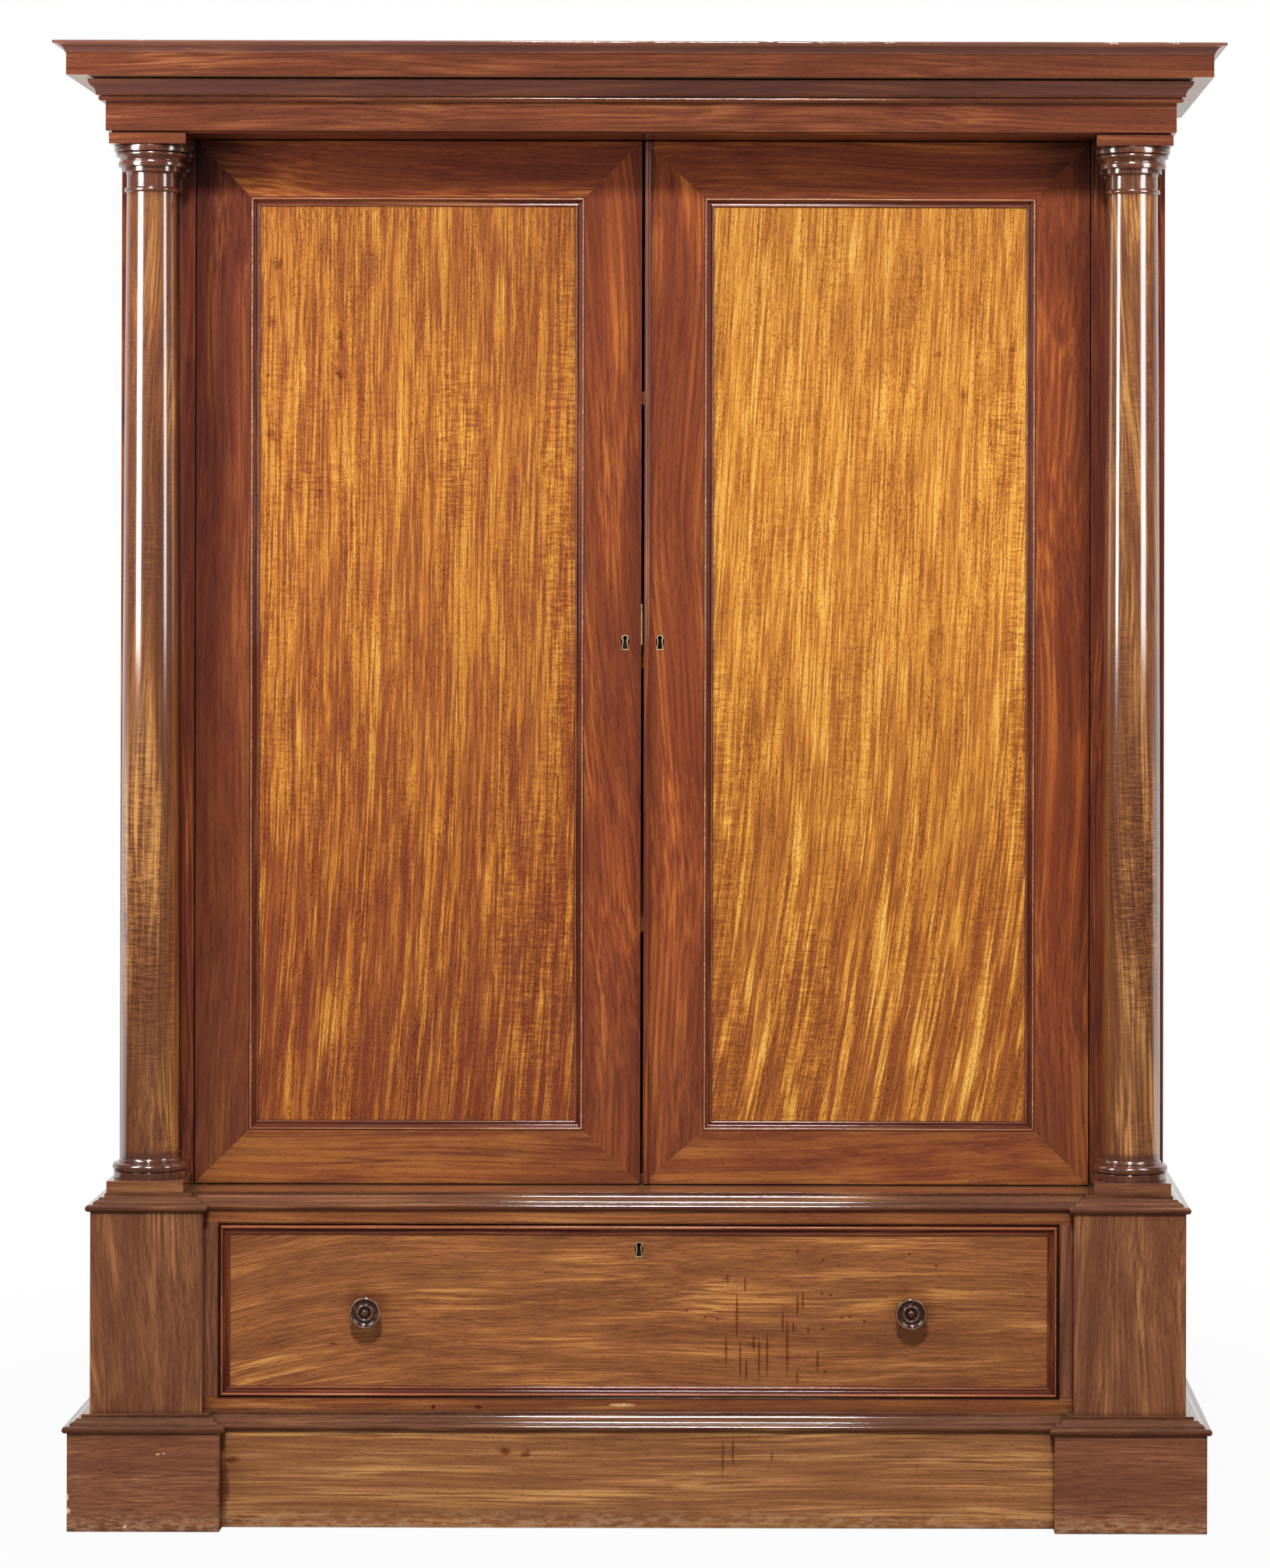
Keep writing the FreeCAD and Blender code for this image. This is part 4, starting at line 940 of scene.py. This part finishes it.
BOARDS = {
    # node: (tones, grain, seed, options)
    "plinth_front_board": ("plinth", "X", 1.2, {
        "marks": plinth_marks, "figure": (40, 3, 1.1), "bend": 0.02, "streak": (300, 7, 0.8)}),
    "plinth_blocks": ("block", "X", 2.4, {
        "marks": plinth_marks, "figure": (34, 3, 0.5), "streak": (420, 8, 0.5)}),
    "plinth_sides": ("base", "Y", 3.6, {}),
    "pedestal_left": ("base", "Z", 4.8, {"bend": 0.09, "figure": (30, 4, 0.9)}),
    "pedestal_right": ("base", "Z", 6.0, {"bend": 0.09}),
    "base_side_left": ("base", "Y", 7.2, {}),
    "base_side_right": ("base", "Y", 8.4, {}),
    "base_back": ("pine", "X", 9.6, BARE),
    "base_top": ("rail", "X", 10.8, {"dust": 0.2}),
    "drawer_rail_lower": ("rail", "X", 12.0, {"marks": rail_marks}),
    "drawer_rail_upper": ("rail", "X", 13.2, {"marks": drawer_gap_shade}),
    "drawer_opening_stiles": ("block", "Z", 14.4, {"marks": drawer_gap_shade}),
    "drawer_runners": ("pine", "Y", 15.6, BARE),
    "drawer_front": ("drawer", "X", 16.8, {
        "bend": 0.035, "arc": (-0.3, 0.45), "figure": (40, 4, 0.9), "streak": (300, 6, 0.6),
        "fibre": (640, 22, 0.8), "marks": keyhole_shade("drawer_escutcheon", drawer_marks)}),
    "drawer_side_left": ("pine", "Y", 18.0, BARE),
    "drawer_side_right": ("pine", "Y", 19.2, BARE),
    "drawer_back": ("pine", "X", 20.4, BARE),
    "drawer_bottom": ("pine", "X", 21.6, BARE),
    "corner_stile_left": ("frame", "Z", 22.8, {"marks": door_corner_shade}),
    "corner_stile_right": ("frame", "Z", 24.0, {"marks": door_corner_shade}),
    "carcass_side_left": ("frame", "Z", 25.2, {}),
    "carcass_side_right": ("frame", "Z", 26.4, {}),
    "carcass_back": ("pine", "Z", 27.6, {**BARE, "boards": 0.1487}),
    "shelf_1": ("inside", "X", 28.8, BARE),
    "shelf_2": ("inside", "X", 30.0, BARE),
    "shelf_3": ("inside", "X", 31.2, BARE),
    "door_stops": ("inside", "X", 32.4, BARE),
    "column_foot_blocks": ("base", "X", 33.6, {}),
    "column_abaci": ("cornice", "X", 34.8, {}),
    "door_left_hinge_stile": ("column_shaded_frame", "Z", 36.0, {
        **DOOR, "figure": (24, 1.5, 0.75), "glint": 0.05, "fade": (0.9, 2.2, -0.22), "drift_share": 0.4,
        "marks": door_corner_shade}),
    "door_left_meeting_stile": ("flame", "Z", 37.2, {
        **DOOR, "lean": 0.08, "marks": keyhole_shade("door_left_escutcheon", meeting_shade)}),
    "door_left_rails": ("frame", "X", 38.4, DOOR_RAILS),
    "door_right_hinge_stile": ("flame", "Z", 39.6, {
        **DOOR, "figure": (24, 1.3, 0.95), "drift_share": 0.6, "marks": door_corner_shade}),
    "door_right_meeting_stile": ("flame", "Z", 40.8, {
        **DOOR, "lean": 0.03, "marks": keyhole_shade("door_right_escutcheon", meeting_shade)}),
    "door_right_rails": ("frame", "X", 42.0, DOOR_RAILS),
    "cornice_bottom_board": ("frame", "X", 44.4, {"upright_polish": True}),
}
KEYHOLE_THREADS = ("drawer_escutcheon", "door_left_escutcheon", "door_right_escutcheon")
LOCK_CASES = ("drawer_lock_case", "door_left_lock_case")
BRASS_NODES = ("drawer_lock_bolt", "door_left_lock_bolt", "door_left_hinge_leaves",
               "door_right_hinge_leaves", "hinge_plates")
BOARD_EDGE = 0.0007  # metres


def dress(node, material):
    slots = nodes[node].data.materials
    slots.clear()
    slots.append(material)
    if node not in KEYHOLE_THREADS:
        soften(nodes[node], BOARD_EDGE, weld=True)


for node, (tone, grain, seed, options) in BOARDS.items():
    dress(node, wood(node + "_wood", tone, grain, seed, **options))
for side, seed, lean, bow, golden, drop in PANEL_FIGURES:
    dress("door_%s_panel" % side, wood(
        "golden_panel_" + side, "panel_" + side, "Z", seed, lean=lean, arc=(1.15, bow), broad=golden,
        fade=(0.45, 1.6, drop), ripple=(0.85, RIPPLES[side]), marks=panel_marks(side), **PANEL))
for material, names in ((pale_brass, KEYHOLE_THREADS), (lock_iron, LOCK_CASES), (brass, BRASS_NODES)):
    for node in names:
        dress(node, material)


# ---- mouldings

FINE_EDGE = 0.00025  # metres


def front_or_side(i):
    """Material of a length: 0 along X, 1 along Y."""
    return 1 if i % 2 == 0 else 0


for name, node, depth, z, plan in (
        ("base_cap", "base_cap_moulding", 30.0, DECK_UNDER_Z,
         (PEDESTAL_X, PEDESTAL_Y, PEDESTAL_INNER_X, RAIL_Y)),
        ("plinth_cap", "plinth_moulding", 29.5, PLINTH_TOP_Z,
         (PLINTH_X, PLINTH_Y, PLINTH_INNER_X, PLINTH_CENTRE_Y))):
    lengths = mitred_sweep(cap_outline(depth), breakfront(*plan), False, level(z))
    moulding(name, "case", lengths, cap_woods, front_or_side, [node])


def chips(i, spot, reach, height):
    """Small losses along the thin upper edge."""
    if reach < 60 or height < 40:
        return 0.0
    along = spot.x if i == 1 else spot.y
    loss = noise.noise(Vector((along * 0.045, i * 7.3, 0.5))) - 0.38
    return max(0.0, loss) * 9.0


def cornice_part(name, lengths, node, choose=front_or_side, width=SOFT_EDGE):
    moulding(name, "case", lengths, cornice_woods, choose, [node], width)


path = [(-FRIEZE_X, BACK_Y), (-FRIEZE_X, FRIEZE_Y), (FRIEZE_X, FRIEZE_Y), (FRIEZE_X, BACK_Y)]
crown = mitred_sweep(crown_outline(), path, False, level(CORONA_Z), 0.006, chips)
cornice_part("cornice_crown", crown, "cornice_crown_moulding")

# Boards at the front and sides, and a rail that joins them at the back.
tall = FRIEZE_TOP_Z - FRIEZE_Z
board = [(-FRIEZE_THICK, 0), (0, 0), (0, tall), (-FRIEZE_THICK, tall)]
rail_x, rail_y = FRIEZE_X - FRIEZE_THICK, BACK_Y - FRIEZE_THICK
corners = [(-rail_x, rail_y), (rail_x, rail_y), (rail_x, BACK_Y), (-rail_x, BACK_Y)]
rail = [(x * MM, y * MM, z * MM) for z in (FRIEZE_Z, FRIEZE_TOP_Z) for x, y in corners]
frieze = mitred_sweep(board, path, False, level(FRIEZE_Z)) + [(rail, BOX_FACES)]
cornice_part("cornice_frieze", frieze, "cornice_frame", lambda i: 1 if i in (0, 2) else 0, 0.0006)
cornice_part("cornice_bed", mitred_sweep(bed_outline(), path, False, level(BED_Z)), "cornice_bed_moulding")


def bead_frame(name, body, node, corners, y, highlight_wood, crest):
    """Frame of moulding from the corners (x, z) of its outer edge."""
    (x0, z0), (x1, z1) = corners
    profile = bead_frame_outline()
    ring = [(x0, z0), (x0, z1), (x1, z1), (x1, z0)]
    lengths = mitred_sweep(profile, ring, True, upright(y))
    moulding(name, body, lengths, [moulding_z, moulding_x, highlight_wood], lambda i: i % 2, [node],
             FINE_EDGE, crest, len(profile))


outer_x = DOOR_EDGE_X - HINGE_STILE
low_z, high_z = DOOR_LOW_Z + LOW_RAIL, DOOR_HIGH_Z - HIGH_RAIL
for body, x0, x1 in (("door_left", -outer_x, -(MEETING_X + LEFT_MEETING_STILE)),
                     ("door_right", MEETING_X + RIGHT_MEETING_STILE, outer_x)):
    bead_frame(body + "_panel_moulding", body, body + "_moulding",
               ((x0, low_z), (x1, high_z)), PANEL_Y, highlight_crest_wood, lambda i, j: j in PANEL_CREST)
bead_frame("drawer_front_bead", "drawer", "drawer_bead",
           ((-DRAWER_X, DRAWER_LOW_Z), (DRAWER_X, DRAWER_HIGH_Z)), DRAWER_Y, lit_wood,
           lambda i, j: j in DRAWER_CREST[i])

strip = mitred_sweep(meeting_bead_outline(), [(MEETING_X, DOOR_LOW_Z), (MEETING_X, DOOR_HIGH_Z)],
                     False, upright(DOOR_Y))
moulding("door_right_meeting_bead", "door_right", strip, [meeting_bead_wood],
         lambda i: 0, ["door_right_bead"], FINE_EDGE)

# Edge of the door lock in the gap between the doors, pierced for the bolt; in metres.
BOLT_PLAY = 0.0008
plate_low, plate_high = (-0.003, -0.1564, 1.308), (-0.0005, -0.136, 1.369)
bolt_low, bolt_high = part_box("door_left_lock_bolt")
play = Vector((0, BOLT_PLAY, BOLT_PLAY))
verts, faces = pierced_plate(plate_low, plate_high, bolt_low - play, bolt_high + play)
plate = mesh_piece("door_left_lock_plate", "door_left", verts, faces, [pale_brass])
soften(plate, SOFT_EDGE)


# ---- columns and knobs

for side, name in ((-1, "column_left"), (1, "column_right")):
    finish = wood(name + "_wood", "column", "Z", 61.0 + 7 * side, lean=0.03 * side,
                  ripple=(0.9, ((side * 742, 950, 50, 300),)), **COLUMN)
    verts, faces = lathe(column_outline(), (side * COLUMN_X, COLUMN_Y), level(FOOT_TOP_Z), around=128)
    piece = mesh_piece("turned_" + name, "case", verts, faces, [finish], None, [name])
    soften(piece, SOFT_EDGE)

finish = wood("knob_wood", "knob", "Y", 71.0, **KNOB)
verts, faces = joined([
    lathe(knob_outline(), (x, KNOB_Z), upright(DRAWER_Y), around=96) for x in (-KNOB_X, KNOB_X)])
mesh_piece("turned_knobs", "drawer", verts, faces, [finish], None, ["drawer_knobs"])


# ---- floor, light and camera

WHITE = (1, 1, 1, 1)


def sees_white(s, path, behind):
    """Mask of camera rays, and of gloss that looks to the back."""
    return s.most(path["Is Camera Ray"], path["Is Transmission Ray"], s.times(path["Is Glossy Ray"], behind))


def make_floor():
    """Pale floor that keeps the shadow and turns white where only the camera sees it."""
    size = 40.0
    mesh = bpy.data.meshes.new("studio_floor")
    mesh.from_pydata([(-size, -size, 0), (size, -size, 0), (size, size, 0), (-size, size, 0)], [],
                     [(0, 1, 2, 3)])
    floor = bpy.data.objects.new("studio_floor", mesh)
    bpy.context.scene.collection.objects.link(floor)
    s = new_shader("pale_floor")
    place = s.place()
    speckle = s.noise(place, (60, 60, 60), 3, 0.6)
    pale = s.ramp(speckle, [(0.3, (0.44, 0.44, 0.435, 1)), (0.7, (0.5, 0.5, 0.495, 1))])
    path = s.node("ShaderNodeLightPath").outputs
    behind = s.between(s.split(place)[1], 0.3, 1.5)
    front_gloss = s.times(path["Is Glossy Ray"], s.minus(1.0, behind))
    pale = s.blend(front_gloss, pale, (0.06, 0.06, 0.06, 1))
    diffuse = s.node("ShaderNodeBsdfDiffuse", {"Color": pale})
    glow = s.node("ShaderNodeEmission", {"Color": WHITE, "Strength": 1.0})
    share = s.between(s.number("LENGTH", place), 1.1, 3.0, 0.95, 1.0)
    factor = s.times(sees_white(s, path, behind), share)
    mixed = s.node("ShaderNodeMixShader", {0: factor, 1: diffuse.outputs[0], 2: glow.outputs[0]})
    s.node("ShaderNodeOutputMaterial", {"Surface": mixed.outputs[0]})
    mesh.materials.append(s.owner)


def make_world():
    """Dim surroundings, white to the camera."""
    world = bpy.data.worlds.new("studio")
    bpy.context.scene.world = world
    s = Shader(world)
    direction = s.node("ShaderNodeTexCoord").outputs["Generated"]
    behind = s.between(s.split(direction)[1], 0.1, 0.8)
    path = s.node("ShaderNodeLightPath").outputs
    white = sees_white(s, path, behind)
    around = s.blend(behind, (0.2, 0.2, 0.2, 1), (0.5, 0.5, 0.5, 1))
    around = s.blend(path["Is Glossy Ray"], around, (0.05, 0.05, 0.055, 1))
    background = s.node("ShaderNodeBackground", {"Color": s.blend(white, around, WHITE), "Strength": 1.0})
    s.node("ShaderNodeOutputWorld", {"Surface": background.outputs[0]})


def softbox(name, spot, target, width, height, power):
    """Rectangular lamp at spot that faces target, in metres and watts."""
    light = bpy.data.lights.new(name, "AREA")
    light.shape = "RECTANGLE"
    light.size = width
    light.size_y = height
    light.energy = power
    lamp = bpy.data.objects.new(name, light)
    bpy.context.scene.collection.objects.link(lamp)
    lamp.location = spot
    lamp.rotation_euler = (Vector(target) - Vector(spot)).to_track_quat("-Z", "Y").to_euler()


make_floor()
make_world()
softbox("key_softbox", (-0.2, -9.0, 8.2), (0, -0.2, 1.1), width=1.2, height=1.2, power=1000)
softbox("left_strip", (-1.6, -1.1, 1.95), (-0.2, -0.2, 1.6), width=0.5, height=1.35, power=19.5)
softbox("right_strip", (1.6, -1.1, 1.95), (0.2, -0.2, 1.6), width=0.5, height=1.35, power=11.5)

# Camera of the photograph: level, square to the front, with the frame shifted down and left.
lens = bpy.data.cameras.new("camera")
lens.lens = 117.0
lens.sensor_width = 36.0
lens.sensor_fit = "AUTO"
lens.shift_x = -0.1100
lens.shift_y = -0.1341
camera = bpy.data.objects.new("camera", lens)
bpy.context.scene.collection.objects.link(camera)
camera.location = (0.2483, -7.8358, 1.4154)
camera.rotation_euler = (math.radians(90), -0.00236, 0)
bpy.context.scene.camera = camera
bpy.context.scene.view_settings.view_transform = "Standard"
